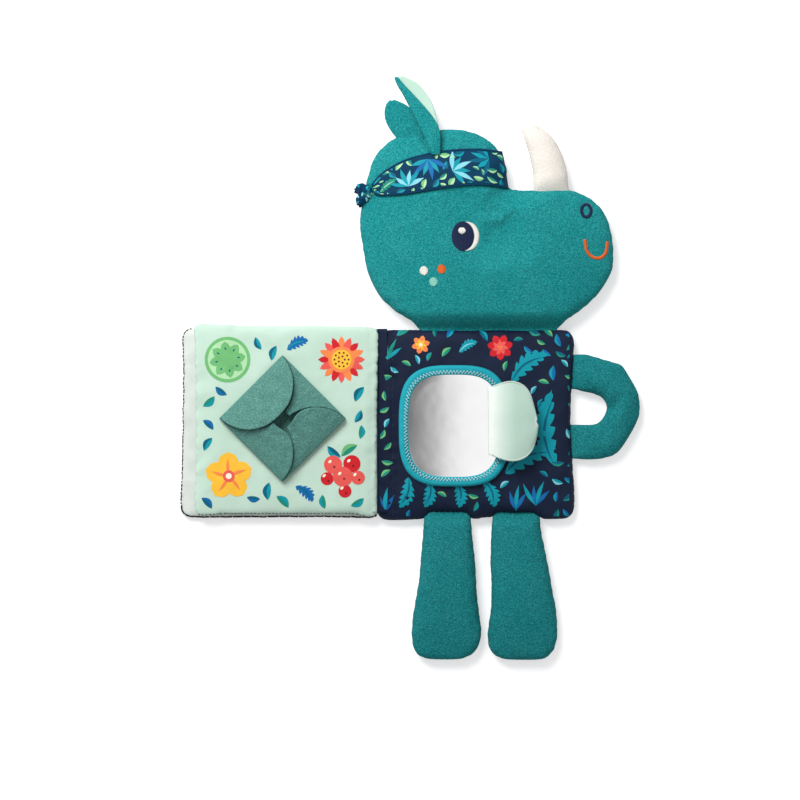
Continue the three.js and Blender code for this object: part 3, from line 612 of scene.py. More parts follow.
def fit(pad, blown, seam, top, bottom, give, fullness):
    """Puts the simulated pad between its lowest and highest plane, with its seam at the seam's height."""
    start = coordinates(pad)
    flat = blown[:, :2].copy()
    for k in (0, 1):
        low, high = np.percentile(start[: pad["rim"], k], SIDES)
        drawn_low, drawn_high = np.percentile(flat[: pad["rim"], k], SIDES)
        flat[:, k] = low + (flat[:, k] - drawn_low) * (high - low) / (drawn_high - drawn_low)
    slide = flat - start[:, :2]
    reach = np.linalg.norm(slide, axis=1, keepdims=True)
    slide *= np.minimum(1, give / np.maximum(reach, 1e-9))
    heights = blown[:, 2] - np.median(blown[: pad["rim"], 2])
    front, back = start[:, 2] >= 0, start[:, 2] < 0
    up = np.clip(heights / np.percentile(heights[front], CROWN), 0, 1.02)
    down = np.clip(-heights / np.percentile(-heights[back], CROWN), 0, 1)
    z = seam + np.where(front, up**fullness * (top - seam), -(down**BACK_FULLNESS) * (seam - bottom))
    rim = slice(pad["rim"])
    z[rim] = seam + np.clip(heights[rim], -RIM_WAVE, RIM_WAVE)
    place_vertices(pad, np.column_stack([start[:, :2] + slide, np.clip(z, bottom, top)]))


print("fitting is ready")


# %% [markdown]
# The air has pulled the rim away from where it was cut. The rim and the cloth near it go back there, and only
# a share of the puckers stays.

# %% Settle a rim and soften a piece
RIM_OUTSET, SETTLE_REACH = 0.5 * MM, 9 * MM


def settle(pad, start, puckers):
    """Moves the rim back to where it was cut, with the cloth near it. A share of its puckers stays."""
    rim = start[: pad["rim"], :2]
    co = coordinates(pad)
    tangent = np.roll(rim, -1, axis=0) - np.roll(rim, 1, axis=0)
    outward = units(np.column_stack([tangent[:, 1], -tangent[:, 0]]))
    gap = rim + outward * RIM_OUTSET - co[: len(rim), :2]
    smooth = sum(np.roll(gap, k, axis=0) for k in range(-4, 5)) / 9
    away = np.linalg.norm(start[:, None, :2] - rim[None], axis=2)
    nearest = away.argmin(axis=1)
    co[:, :2] += smooth[nearest] * np.exp(-away.min(axis=1) / SETTLE_REACH)[:, None]
    co[: len(rim), :2] += (1 - puckers) * (gap - smooth)
    place_vertices(pad, co)


def apply_modifiers(obj):
    """Turns the modifiers' result into the mesh itself."""
    graph = bpy.context.evaluated_depsgraph_get()
    mesh = bpy.data.meshes.new_from_object(obj.evaluated_get(graph))
    old = obj.data
    obj.modifiers.clear()
    obj.data = mesh
    bpy.data.meshes.remove(old)
    mesh.name = obj.name
    return obj


def soften(obj, rounds, subdivide):
    relax = obj.modifiers.new("relax", "SMOOTH")
    relax.factor, relax.iterations = 0.5, rounds
    if subdivide:
        finer = obj.modifiers.new("finer", "SUBSURF")
        finer.levels = finer.render_levels = subdivide
    return apply_modifiers(obj)


print("settling is ready")


# %% [markdown]
# Prints, threads and the headband lie on finished pieces. A ray from straight above finds the cloth under a
# point. A print also rises where the cloth is steep, so that it doesn't sink into the slope.

# %% The top of a piece
STEEP_LIFT = 0.6 * MM


class Surface:
    """The top of a finished piece, to lay things on."""

    def __init__(self, *objs, missed):
        vertices, faces = [], []
        for obj in objs:
            first = len(vertices)
            vertices += [v.co.copy() for v in obj.data.vertices]
            faces += [tuple(first + i for i in p.vertices) for p in obj.data.polygons]
        self.tree, self.missed = BVHTree.FromPolygons(vertices, faces), missed

    def under(self, x, y):
        """The point and the normal that a ray from straight above meets, or None twice."""
        return self.tree.ray_cast(Vector((x, y, 1.0)), Vector((0, 0, -1)))[:2]

    def height(self, x, y):
        hit, _ = self.under(x, y)
        return hit.z if hit else self.missed

    def touch(self, point):
        """The nearest point of the piece."""
        return self.tree.find_nearest(Vector(point))[0]

    def lay(self, point, lift):
        """The point moved up or down onto the surface, and lifted off it."""
        return Vector((point[0], point[1], self.height(point[0], point[1]) + lift))

    def ink(self, point, lift):
        """The same for a print: higher where the cloth is steep, and drawn in to the rim beyond it."""
        hit, normal = self.under(point[0], point[1])
        if hit:
            return hit + normal * (lift + STEEP_LIFT * (1 - normal.z))
        return self.touch((point[0], point[1], self.missed))


print("surfaces are ready")


# %% [markdown]
# Much of the book is rings of points joined to each other: threads, hems, the mirror, its binding, the knot
# and the horn. One function joins any rings. A thread is a thin tube made with it, closed at its ends, and
# many threads share one mesh.

# %% Rings and tubes
def joined(rings, columns, closed=False, first=0):
    """The faces between rings of vertices. Closed, the last ring meets the first."""
    faces = []
    for i in range(rings if closed else rings - 1):
        here, there = first + i * columns, first + (i + 1) % rings * columns
        for j in range(columns):
            n = (j + 1) % columns
            faces.append((here + j, here + n, there + n, there + j))
    return faces


def fan(middle, first, columns, under=False):
    """The faces from one vertex to a ring of vertices. They look down under a piece."""
    faces = [(middle, first + j, first + (j + 1) % columns) for j in range(columns)]
    return [(a, c, b) for a, b, c in faces] if under else faces


def tube_mesh(name, paths, radius, material, sides=5, closed=False):
    vertices, faces = [], []
    for path in paths:
        points = [Vector(p) for p in path]
        count, first, normal = len(points), len(vertices), None
        for k, point in enumerate(points):
            before = points[k - 1] if k or closed else points[0]
            after = points[(k + 1) % count] if k + 1 < count or closed else points[-1]
            along = (after - before).normalized()
            if normal is None:
                normal = along.orthogonal()
            normal = (normal - along * normal.dot(along)).normalized()
            side = along.cross(normal)
            for i in range(sides):
                angle = 2 * math.pi * i / sides
                vertices.append(point + (normal * math.cos(angle) + side * math.sin(angle)) * radius)
        faces += joined(count, sides, closed, first)
        if not closed:
            faces.append(tuple(first + i for i in reversed(range(sides))))
            faces.append(tuple(first + (count - 1) * sides + i for i in range(sides)))
    return add_mesh(name, vertices, faces, material)


print("tubes are ready")


# %% [markdown]
# ## All the pads at once
#
# No sewn rim is an exact curve. The filling pushes it out in one place and a seam holds it in at another. Each
# nudge below is a place, a push and how far its effect reaches, all in millimetres.

# %% Nudges of the rims
NUDGES = {
    "head": (
        (8, 214, -7.5, 6.7, 21), (22, 227, -1.6, 3.0, 12), (0, 192, -3.4, 0, 17), (-8, 168, -2.6, 0, 18),
        (3, 108, -3.4, -2.2, 24), (184, 168, 0.6, 0.8, 14), (186, 124, 2.2, -0.6, 18), (128, 187, 0, 1.8, 30),
        (108, 192, -5.4, -3.0, 9),
    ),
    "page": (
        (159, 5, -3.0, 0, 45), (1, -77, -3.0, -1.2, 9), (1, 77, -1.0, 0.6, 12), (1, -40, -2.6, 0, 30),
        (1, 15, -1.2, 0, 30), (30, -76, 0, -1.0, 40),
    ),
    "leaf": (
        (-4, 55, 2.2, 0, 38), (-4, 0, 1.6, 0, 38), (-4, -55, 0.6, 0, 38), (-130, 77, 0, 2.8, 60),
        (-50, 77, 0, 2.0, 40), (-146, 77, -2.2, 1.6, 9), (-146, -76, -1.8, -1.8, 9), (-4, -76, 2.2, -2.6, 10),
        (-4, 77, 1.6, 0.6, 8), (-75, -76, 0, -0.8, 60),
    ),
    "cover": (
        (-120, -75, 0, -1.4, 60), (-40, -75, 0, -1.0, 60), (-6, -74, 4.6, -1.2, 16), (-152, 76, 0, 0.6, 22),
        (-160, 45, 0.8, 0, 30), (-160, -65, -1.0, 0, 30),
    ),
    "left_leg": (
        (77, -115, 3.0, 0, 24), (36, -110, -1.6, 0, 20), (31, -150, -2.6, 0, 22), (80, -155, 2.2, 0, 20),
        (38, -185, -3.8, -2.0, 12), (74, -185, 2.0, -1.2, 14),
    ),
    "right_leg": (
        (134, -115, 4.0, 0, 24), (93, -108, -2.6, 0, 22), (140, -150, 4.8, 0, 22), (132, -184, 4.4, -2.6, 13),
        (99, -184, -2.6, -1.6, 14),
    ),
    "handle": (
        (196, 46, 1.8, 2.6, 9), (189, -21, 2.4, -4.4, 15), (172, 31, 0, -2.6, 12), (178, 2, 1.2, -2.2, 10),
        (170, -22, 0, -1.6, 10), (170, 52, 0, 0.8, 10),
    ),
}


def nudged(name, loop):
    """The rim of a pad pushed about by its stuffing."""
    moved = loop.copy()
    for x, y, dx, dy, reach in NUDGES[name]:
        near = np.exp(-(np.linalg.norm(loop - at(x, y).xy, axis=1) / (reach * MM)) ** 2)
        moved += near[:, None] * np.array((dx, dy)) * MM
    return moved


print(sum(len(pushes) for pushes in NUDGES.values()), "nudges")


# %% [markdown]
# Page, cover, leaf, head, legs and handle are cut now. The neck, the legs' tops and the handle's ends are made
# longer than in the frame, because they are sewn into the page's seam.

# %% Cut the pages, the head and the legs
PAGE_STEP, LIMB_STEP = 4.2 * MM, 3.6 * MM
PAGE_ROUND, HEAD_ROUND, LEG_ROUND = 1.2 * MM, 2.4 * MM, 4.5 * MM
pads, rims = {}, {}
LEG_SEAM, LEG_CORNER = at(0, -72.6).y, 2 * MM
LEG_TOPS = (at(38.8, 0).x, at(74.4, 0).x), (at(94.5, 0).x, at(130.2, 0).x)


def drawn_in(loop):
    """The page's rim, drawn in along the tops of the legs, which are sewn to it there."""
    for left, right in LEG_TOPS:
        between = np.minimum(loop[:, 0] - left, right - loop[:, 0]) / LEG_CORNER
        share = np.clip(0.5 + between, 0, 1) * (loop[:, 1] < LEG_SEAM)
        loop[:, 1] += share * (LEG_SEAM - loop[:, 1])
    return loop


def cut(name, loop, step, materials):
    rims[name] = nudged(name, loop)
    if name == "page":
        rims[name] = drawn_in(rims[name])
    pads[name] = sew(name, rims[name], step, materials)


for name, cloths in (
    ("page", [navy_cloth, teal_plush]),
    ("cover", [pale_cloth, navy_cloth]),
    ("leaf", [mint_cloth, pale_cloth]),
):
    rim = rounded_loop(rim_of(name + "_front_panel"), PAGE_ROUND)
    cut(name, even_loop(rim, PAGE_STEP), PAGE_STEP, cloths)


SEAM_EDGE = 0.6 * MM


def tucked(loop, inward, depth):
    """The loop with its edge at the page's seam pushed into the page. inward is a unit vector."""
    side = loop @ np.array(inward)
    loop[side > side.max() - SEAM_EDGE] += np.array(inward) * depth
    return loop


for name, inward, spread, tuck, material in (
    ("head", (0, -1), HEAD_ROUND, 7 * MM, teal_plush),
    ("left_leg", (0, 1), LEG_ROUND, 14 * MM, painted_shade_limb_plush),
    ("right_leg", (0, 1), LEG_ROUND, 14 * MM, painted_shade_limb_plush),
):
    rim = rounded_loop(tucked(rim_of(name + "_front_panel"), inward, tuck), spread)
    cut(name, even_loop(rim, LIMB_STEP), LIMB_STEP, [material])

print("cut:", list(pads))

# %% [markdown]
# The handle's outline is two half ellipses, worked out from its box.

# %% Cut the handle
HANDLE_WIDTH, HANDLE_TUCK, HANDLE_STEP = 27 * MM, 7.5 * MM, 3 * MM
QUARTER = 12
handle_low, handle_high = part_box("handle_front_panel")


def handle_loop():
    """Out along the outer half ellipse and back along the inner one."""
    middle = (handle_low.y + handle_high.y) / 2
    points = []
    outwards = range(-QUARTER, QUARTER + 1)
    for inset, turns in ((0, outwards), (HANDLE_WIDTH, outwards[::-1])):
        reach = handle_high.x - handle_low.x - inset
        half = (handle_high.y - handle_low.y) / 2 - inset
        points.append((handle_low.x - HANDLE_TUCK, middle + half * math.copysign(1, turns[0])))
        for k in turns:
            angle = math.pi / 2 * k / QUARTER
            points.append((handle_low.x + reach * math.cos(angle), middle + half * math.sin(angle)))
        points.append((handle_low.x - HANDLE_TUCK, middle + half * math.copysign(1, turns[-1])))
    return np.array(points)


cut("handle", even_loop(handle_loop(), HANDLE_STEP, smooth=False), HANDLE_STEP, [painted_shade_limb_plush])
print({name: len(pad.data.vertices) for name, pad in pads.items()})


# %% [markdown]
# All seven pads are blown up at once. Each is then fitted between the lowest and the highest plane of its
# panels, relaxed, settled on its rim and made finer. The pages keep more of their puckers than the limbs.

# %% Blow them up and fit them
blown = blow_up(list(pads.values()))
for name, pad in pads.items():
    moved = blown[name] - coordinates(pad)
    swelled, slid = abs(moved[:, 2]).max() / MM, np.linalg.norm(moved[:, :2], axis=1).max() / MM
    print(name, "swelled", round(float(swelled), 1), "mm, slid", round(float(slid), 1), "mm")
FLOOR_CLEAR = 0.25 * MM
PAGE_PUCKERS, LIMB_PUCKERS = 0.3, 0.12
name_slots = {"page": "navy_cloth", "cover": "pale_cloth", "leaf": "mint_cloth"}
for name, give, fullness in (
    ("page", 1.6 * MM, 0.4), ("cover", 1.6 * MM, 0.4), ("leaf", 1.6 * MM, 0.4),
    ("head", 3.0 * MM, 0.55), ("left_leg", 2.0 * MM, 0.55), ("right_leg", 2.0 * MM, 0.55),
    ("handle", 1.2 * MM, 0.6),
):
    low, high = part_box(name + "_back_panel")
    top = top_of(name + "_front_panel")
    cut_out = coordinates(pads[name])
    fit(pads[name], blown[name], high.z, top, max(low.z, FLOOR_CLEAR), give, fullness)
    soften(pads[name], 2, 0)
    settle(pads[name], cut_out, PAGE_PUCKERS if name in name_slots else LIMB_PUCKERS)
    soften(pads[name], 0, 1)
    print(name, "is", round((top - pads[name].bound_box[0][2]) / MM, 1), "mm thick")


# %% [markdown]
# A limb is sewn flat into the page's seam: its front and back come together there, at the seam's height, and it
# swells from that line outwards. The page's edge hangs over the line, so it lies in a dark crease.

# %% Bring the limbs down to the page's seam
LEAST_SHARE = 0.12


def sew_in(pad, line, axis, inward, reach):
    """Flattens a pad towards the line where it is sewn in. inward is 1 or -1 along the axis, into the page."""
    co = coordinates(pad)
    away = np.clip(inward * (line - co[:, axis]) / reach, 0, 1)
    share = np.maximum(1 - (1 - away) ** 2, LEAST_SHARE)
    co[:, 2] = page_seam + (co[:, 2] - page_seam) * share
    place_vertices(pad, co)


page_seam = top_of("page_back_panel")
for name, line, axis, inward, reach in (
    ("head", page_high.y, 1, -1, 14 * MM), ("handle", page_high.x - 2 * MM, 0, -1, 10 * MM),
    ("left_leg", LEG_SEAM, 1, 1, 11 * MM), ("right_leg", LEG_SEAM, 1, 1, 11 * MM),
):
    sew_in(pads[name], line, axis, inward, reach)
    print(name, "is flat at its seam and full", round(reach / MM), "mm from it")


# %% [markdown]
# Sheets of crackling film lie under the cloth of the pages, so their cloth never lies quite flat. We give it
# shallow facets, with folds that run in from the seams. A line of stitches beside the gutter pulls the navy
# page down, and its stitches pucker the cloth on both sides.

# %% Facets, grooves and creases
FACING_UP, SEAM_REACH, FINER = 0.25, 16 * MM, 2.7


def crinkle(pad, height, size, seed):
    """Moves the front's points by folded noise, which is deeper near the seams."""
    co = coordinates(pad)
    low, high = co.min(axis=0), co.max(axis=0)
    ups = vertex_normals(pad)[:, 2]
    for i in np.flatnonzero(ups > FACING_UP):
        x, y, z = co[i]
        edge = min(x - low[0], high[0] - x, y - low[1], high[1] - y)
        place = Vector((x, y, seed * size)) / size
        fold = 1 - 2 * abs(noise.noise(place))
        fine = noise.noise(place * FINER)
        depth = height * (0.45 + math.exp(-edge / SEAM_REACH))
        co[i][2] = min(z + ups[i] * depth * (0.7 * fold + 0.5 * fine - 0.5), high[2])
    place_vertices(pad, co)


def pull_down(pad, line_x, depth, spread):
    """A vertical line of stitches: a groove whose depth changes from stitch to stitch."""
    co = coordinates(pad)
    ups = vertex_normals(pad)[:, 2]
    for i in np.flatnonzero(ups > 0.1):
        away = (co[i][0] - line_x) / spread
        pucker = 0.75 + 0.5 * rough(away * 0.4, co[i][1] / (5 * MM), 3)
        co[i][2] -= depth * pucker * math.exp(-abs(away) ** 1.5)
    place_vertices(pad, co)


def crease(pad, start, end, depth, spread):
    """A fold in the top of a pad along a line."""
    co = coordinates(pad)
    line = (end - start).xy
    for i, vertex in enumerate(pad.data.vertices):
        away = Vector(co[i][:2]) - start.xy
        along = away.dot(line) / line.length_squared
        off = (away - line * min(max(along, 0), 1)).length / spread
        if vertex.normal.z > 0 and off < 3:
            co[i][2] -= depth * math.exp(-off * off) * min(1, 1.4 - along)
    place_vertices(pad, co)


print("facets, grooves and creases are ready")


# %% [markdown]
# The head has a deep crease between its ears and a soft one that runs down from the brow in front of the eye.
# Each page gets facets of its own height and size. The leaf too is pulled down a little beside the gutter.

# %% Crease the head and crinkle the pages
for start, end, depth, spread in (
    ((33.5, 236), (44.5, 219), 4.0, 2.6),
    ((100, 188), (112, 172), 1.0, 5),
    ((112, 172), (108, 140), 0.7, 7),
):
    crease(pads["head"], at(*start), at(*end), depth * MM, spread * MM)
STITCH_LINE_X = 12.6
for name, height, size, seed in (("page", 1.5, 26, 1), ("leaf", 1.1, 30, 2), ("cover", 1.0, 30, 3)):
    crinkle(pads[name], height * MM, size * MM, seed)
pull_down(pads["page"], at(STITCH_LINE_X, 0).x, 2.4 * MM, 2.6 * MM)
pull_down(pads["leaf"], at(-5, 0).x, 1.0 * MM, 3 * MM)
page_top = Surface(pads["page"], missed=pads["page"].bound_box[0][2])
leaf_top = Surface(pads["leaf"], missed=top_of("leaf_back_panel"))
cover_top = Surface(pads["cover"], missed=top_of("cover_back_panel"))
print("page is", round(page_top.height(*at(130, -60).xy) / MM, 1), "mm high at a corner")


# %% [markdown]
# ## Rides and replacements
#
# A page turns stiffly, so each page pad rides on its own body. On the toy, the head, the legs and the handle
# bend at the seam that joins them to the page; here they stay where they lie.

# %% Say what each pad stands for
def put_on(piece, body, slot, *nodes):
    """The piece rides on the body and stands for the nodes. slot is not used."""
    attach(piece, body)
    if nodes:
        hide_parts(*nodes)
    return piece


def stand_for(name, fillings):
    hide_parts(name + "_front_panel", name + "_back_panel", *(name + f for f in fillings))


for name in name_slots:
    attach(pads[name], name)
    stand_for(name, ["_wadding", "_crinkle_film"])
SEAM_TUCK, BEND = 3.2 * MM, 7 * MM
leg_bend = (0, page_low.y + SEAM_TUCK, 0), (0, page_low.y - BEND, 0)
for name, start, end in (
    ("head", (0, page_high.y - SEAM_TUCK, 0), (0, page_high.y + BEND, 0)),
    ("left_leg", *leg_bend),
    ("right_leg", *leg_bend),
    ("handle", (page_high.x - SEAM_TUCK, 0, 0), (page_high.x + BEND, 0, 0)),
):
    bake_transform(pads[name])
    stand_for(name, ["_stuffing"])
head_top = Surface(pads["head"], missed=top_of("head_back_panel"))
print("blended:", ["head", "left_leg", "right_leg", "handle"])


# %% [markdown]
# ## Prints
#
# Ink on cloth has a crisp edge. We cut each printed shape out of a film that stands a seventh of a millimetre
# over the cloth, where it follows every crinkle. The shapes are loops of points, given in millimetres.

# %% Printed shapes
FILM, LAYER = 0.14 * MM, 0.07 * MM
FILM_ROOT = Vector((0, 0, 0.25 * MM))
LEAF_POINTS, NOTCHES = 8, 6


def turned(loop, degrees):
    c, s = math.cos(math.radians(degrees)), math.sin(math.radians(degrees))
    return np.asarray(loop) @ np.array([[c, s], [-s, c]])


def disc(x, y, radius, tall=1.0, turn=0, points=18):
    """An ellipse as a loop."""
    angles = np.linspace(0, 2 * math.pi, points, endpoint=False)
    loop = np.stack([radius * np.cos(angles), radius * tall * np.sin(angles)], axis=1)
    return turned(loop, turn) + (x, y)


def both_sides(along, middle, half, turn, stalk):
    """The loop round a leaf, from its middle line and half of its width."""
    side = np.stack([along, middle + half], axis=1)
    other = np.stack([along, middle - half], axis=1)[1:-1]
    return turned(np.concatenate([other, side[::-1]]), turn) + stalk


def leaf(x, y, length, width, turn, bow=0.1, blunt=0.8):
    """A leaf from its stalk at x, y. A small blunt makes round ends, a large one sharp ends."""
    t = np.linspace(0, 1, LEAF_POINTS)
    half = width / 2 * np.sin(math.pi * t) ** blunt
    return both_sides(t * length, bow * length * np.sin(math.pi * t), half, turn, (x, y))


def blade(x, y, length, width, turn):
    return leaf(x, y, length, width, turn, bow=0.04, blunt=1.3)


def notched(x, y, length, width, turn):
    """A leaf whose edge is cut in from both sides, as a banana leaf tears."""
    t = np.linspace(0, 1, NOTCHES * 4 + 1)
    saw = (t * NOTCHES) % 1
    torn = 1 - 0.5 * (1 - saw) ** 3 * (t > 0.1)
    half = width / 2 * np.sin(math.pi * np.clip(t * 1.04, 0, 1)) ** 0.6 * torn
    return both_sides(t * length + half * 0.35, 0.12 * length * np.sin(math.pi * t), half, turn, (x, y))


print("a leaf has", len(leaf(0, 0, 10, 3, 0)), "points and a torn one", len(notched(0, 0, 10, 3, 0)))


# %% [markdown]
# A cloth is printed before it is cut, so the seams cut through leaves. Each shape is clipped to its cloth,
# and every ink of a cloth becomes one piece.

# %% Print
def clipped(loop, low, high):
    """What of a loop lies in a box: each side of the box cuts the loop in turn."""
    for axis, side, sign in ((0, low[0], 1), (1, low[1], 1), (0, high[0], -1), (1, high[1], -1)):
        kept = []
        for p, q in zip(loop, np.roll(loop, -1, axis=0)):
            p_in, q_in = sign * (p[axis] - side) >= 0, sign * (q[axis] - side) >= 0
            if p_in:
                kept.append(p)
            if p_in != q_in:
                kept.append(p + (q - p) * (side - p[axis]) / (q[axis] - p[axis]))
        if len(kept) < 3:
            return None
        loop = np.array(kept)
    return loop


PRINT_STEP = 4 * MM


def print_on(name, shapes, surface, body, slot, low, high, place=at):
    """shapes are (ink, layer, loop), cut off at a box and put on the cloth by place. Each ink is a piece."""
    for ink, material in inks.items():
        vertices, faces = [], []
        for colour, layer, whole in shapes:
            loop = clipped(whole, low, high) if colour == ink else None
            if loop is None:
                continue
            flat, triangles = triangles_in(np.array([place(*p).xy for p in loop]), PRINT_STEP)
            first, under = len(vertices), len(vertices) + len(flat)
            upper = [surface.ink(p, FILM + layer * LAYER) for p in flat]
            vertices += upper + [point - FILM_ROOT for point in upper]
            for a, b, c in triangles:
                faces += [(first + a, first + b, first + c), (under + c, under + b, under + a)]
            for i in range(len(loop)):
                j = (i + 1) % len(loop)
                faces.append((first + i, under + i, under + j, first + j))
        if faces:
            put_on(add_mesh(name + "_" + ink, vertices, faces, material, smooth=False), body, slot)


def printed(name, colour):
    """Ink takes the gloss of the cloth under it and wears a little at random."""
    cloth = Cloth(name, roughness=0.55)
    worn = cloth.sharpen(cloth.grain(6 * MM, 3.0), 0.35, 0.7)
    dark = tuple(0.8 * c for c in linear(*colour))
    cloth.colour(cloth.mix(worn * 0.45, linear(*colour), dark))
    cloth.bump(cloth.grain(0.5 * MM, 2.0), 0.05 * MM, 0.5)
    return cloth.data


inks = {
    name: printed(name + "_ink", colour)
    for name, colour in {
        "turquoise": (16, 150, 166), "deep_teal": (10, 96, 122), "sea_green": (30, 138, 118),
        "fern": (112, 184, 116), "pale_green": (176, 222, 172), "sky": (132, 208, 222), "blue": (20, 104, 168),
        "orange": (244, 136, 78), "coral": (232, 92, 84), "red": (206, 36, 44), "maroon": (112, 22, 40),
        "yellow": (252, 192, 60), "cream": (255, 238, 214),
    }.items()
}
print(len(inks), "inks")


# %% [markdown]
# Leaves are scattered by trying random places and keeping those that are far enough from all that is
# already there. The draws come from a seeded generator, so that each run prints the same cloth.

# %% Scatter
def scatter(draw, low, high, count, taken, sizes, tries=4000):
    """Random places (x, y) in a box that keep off the circles (x, y, radius) in taken."""
    places = []
    for _ in range(tries):
        radius = draw.uniform(*sizes)
        x, y = draw.uniform(low[0], high[0]), draw.uniform(low[1], high[1])
        if all(math.hypot(x - a, y - b) > radius + r for a, b, r in taken):
            taken.append((x, y, radius))
            places.append((x, y, radius))
        if len(places) == count:
            break
    return places


def leaf_pair(ink, half_ink, x, y, length, width, turn):
    """A leaf whose one half is a second colour, placed by its middle."""
    stalk = np.array((x, y)) - turned([(length / 2, 0)], turn)[0]
    half = leaf(*stalk, length, width * 0.45, turn, bow=0.1 + 0.25 * width / length)
    return [(ink, 0, leaf(*stalk, length, width, turn)), (half_ink, 1, half)]


def leaf_pairs(draw, places, pairs, long, wide):
    """A leaf at each place, in one of the pairs of inks, turned at random."""
    shapes = []
    for x, y, radius in places:
        pair = draw.choice(pairs)
        shapes += leaf_pair(*pair, x, y, radius * long, radius * wide, draw.uniform(0, 360))
    return shapes


def leaf_fan(ink, other, x, y, length, turns, width):
    """Long leaves that spread from one point."""
    return [
        ((ink, other)[k % 2], k % 2, blade(x, y, length * (0.8 + 0.2 * (k % 2)), width, turn))
        for k, turn in enumerate(turns)
    ]


def frond(ink, vein_ink, x, y, length, width, turn):
    """A notched leaf with its vein."""
    vein = leaf(x, y, length * 0.86, width * 0.12, turn, bow=0.14)
    return [(ink, 0, notched(x, y, length, width, turn)), (vein_ink, 1, vein)]


def petals(petal_inks, x, y, length, width, count, turn=0, blunt=0.5):
    """A round of leaves, every other one above its neighbours. The inks take turns."""
    shapes = []
    for k in range(count):
        petal = leaf(x, y, length, width, 360 / count * k + turn, bow=0, blunt=blunt)
        shapes.append((petal_inks[k % len(petal_inks)], k % 2, petal))
    return shapes


print("leaves, fans, fronds and petals")


# %% [markdown]
# The mint page has four large round motifs in its corners, round the pocket: a sunflower, a slice of lime, a
# bunch of berries and a poppy. They are common figures of cloth books.

# %% Motifs of the mint page
BERRIES = (
    (-0.45, 0.3, 0.42), (0.42, 0.34, 0.4), (0.0, -0.25, 0.46), (-0.72, -0.35, 0.3), (0.7, -0.3, 0.32),
    (0.1, -0.92, 0.3),
)


def sunflower(x, y, size):
    shapes = petals(("coral", "orange", "red"), x, y, size, size * 0.32, 16)
    shapes += [("orange", 3, disc(x, y, size * 0.56, points=26)), ("yellow", 4, disc(x, y, size * 0.42))]
    for ring, count in ((0.3, 10), (0.14, 5)):
        for k in range(count):
            angle = 2 * math.pi * k / count
            spot = x + size * ring * math.cos(angle), y + size * ring * math.sin(angle)
            shapes.append(("maroon", 5, disc(*spot, size * 0.045, points=8)))
    return shapes


def lime_slice(x, y, size):
    shapes = [("fern", 0, disc(x, y, size, points=28)), ("pale_green", 1, disc(x, y, size * 0.86, points=26))]
    for turn in range(10, 370, 45):
        shapes.append(("fern", 2, leaf(x, y, size * 0.8, size * 0.46, turn, bow=0, blunt=0.6)))
        seed = np.array((x, y)) + turned([(size * 0.42, 0)], turn)[0]
        shapes.append(("deep_teal", 3, leaf(*seed, size * 0.14, size * 0.07, turn)))
    return shapes


def berries(x, y, size):
    shapes = leaf_pair("sea_green", "fern", x + size * 0.3, y + size * 0.95, size * 0.9, size * 0.4, 35)
    shapes += leaf_pair("deep_teal", "turquoise", x - size * 0.4, y + size * 0.9, size * 0.8, size * 0.36, 140)
    for k, (dx, dy, radius) in enumerate(BERRIES):
        a, b = x + dx * size, y + dy * size
        shapes.append((("coral", "red")[k % 2], 1 + k % 3, disc(a, b, radius * size)))
        shapes.append(("cream", 5, disc(a - 0.14 * size, b + 0.14 * size, 0.09 * size, 0.7, 45, 10)))
        shapes.append(("maroon", 5, disc(a + 0.06 * size, b - 0.1 * size, 0.05 * size, points=8)))
    return shapes


def poppy(x, y, size):
    shapes = petals(("yellow",), x, y, size * 1.05, size * 0.9, 5, 20, 0.42)
    shapes += [("orange", 3, blade(x, y, size * 0.8, size * 0.14, 72 * k + 20)) for k in range(5)]
    return shapes + [("coral", 4, disc(x, y, size * 0.26)), ("cream", 5, disc(x, y, size * 0.13, points=12))]


leaf_draw = random.Random(11)
mint_shapes = [
    *sunflower(-29, 52, 19), *lime_slice(-121, 52, 18.5), *berries(-28, -38, 17.5), *poppy(-120, -42, 18.5),
    *frond("blue", "turquoise", -73, 60, 19, 10, 24), *frond("blue", "deep_teal", -66, -50, 19, 10, -42),
]
mint_taken = [
    (-29, 52, 20), (-121, 52, 20), (-28, -36, 22), (-120, -42, 20), (-76.5, 4.5, 44), (-64, 63, 11),
    (-110.5, 4.5, 20), (-42.5, 4.5, 20), (-60, -56, 11),
]
MINT_PAIRS = (("turquoise", "deep_teal"), ("sea_green", "turquoise"), ("deep_teal", "blue"))
mint_places = scatter(leaf_draw, (-138, -64), (-12, 70), 26, mint_taken, (5.4, 7.2))
mint_shapes += leaf_pairs(leaf_draw, mint_places, MINT_PAIRS, 2.0, 0.95)
print_on("leaf_print", mint_shapes, leaf_top, "leaf", "mint_cloth", (-143, -70), (-5, 76))
print(len(mint_shapes), "shapes on the mint page")


# %% [markdown]
# On the navy page, torn turquoise banana leaves spread from behind the mirror, and smaller leaves, grass and
# two flowers fill the night round them.

# %% Motifs of the navy page
mirror_low, mirror_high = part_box("mirror_sheet")
MIRROR_X, MIRROR_Y = from_gutter((mirror_low.x + mirror_high.x) / 2, (mirror_low.y + mirror_high.y) / 2)


def star_flower(x, y, size, count, outer, inner, heart):
    shapes = petals((outer,), x, y, size, size * 0.62, count, 15)
    for k in range(count):
        shapes.append((inner, 2, leaf(x, y, size * 0.62, size * 0.3, 360 / count * (k + 0.5) + 15)))
    return shapes + [(inner, 3, disc(x, y, size * 0.34)), (heart, 4, disc(x, y, size * 0.2, points=12))]


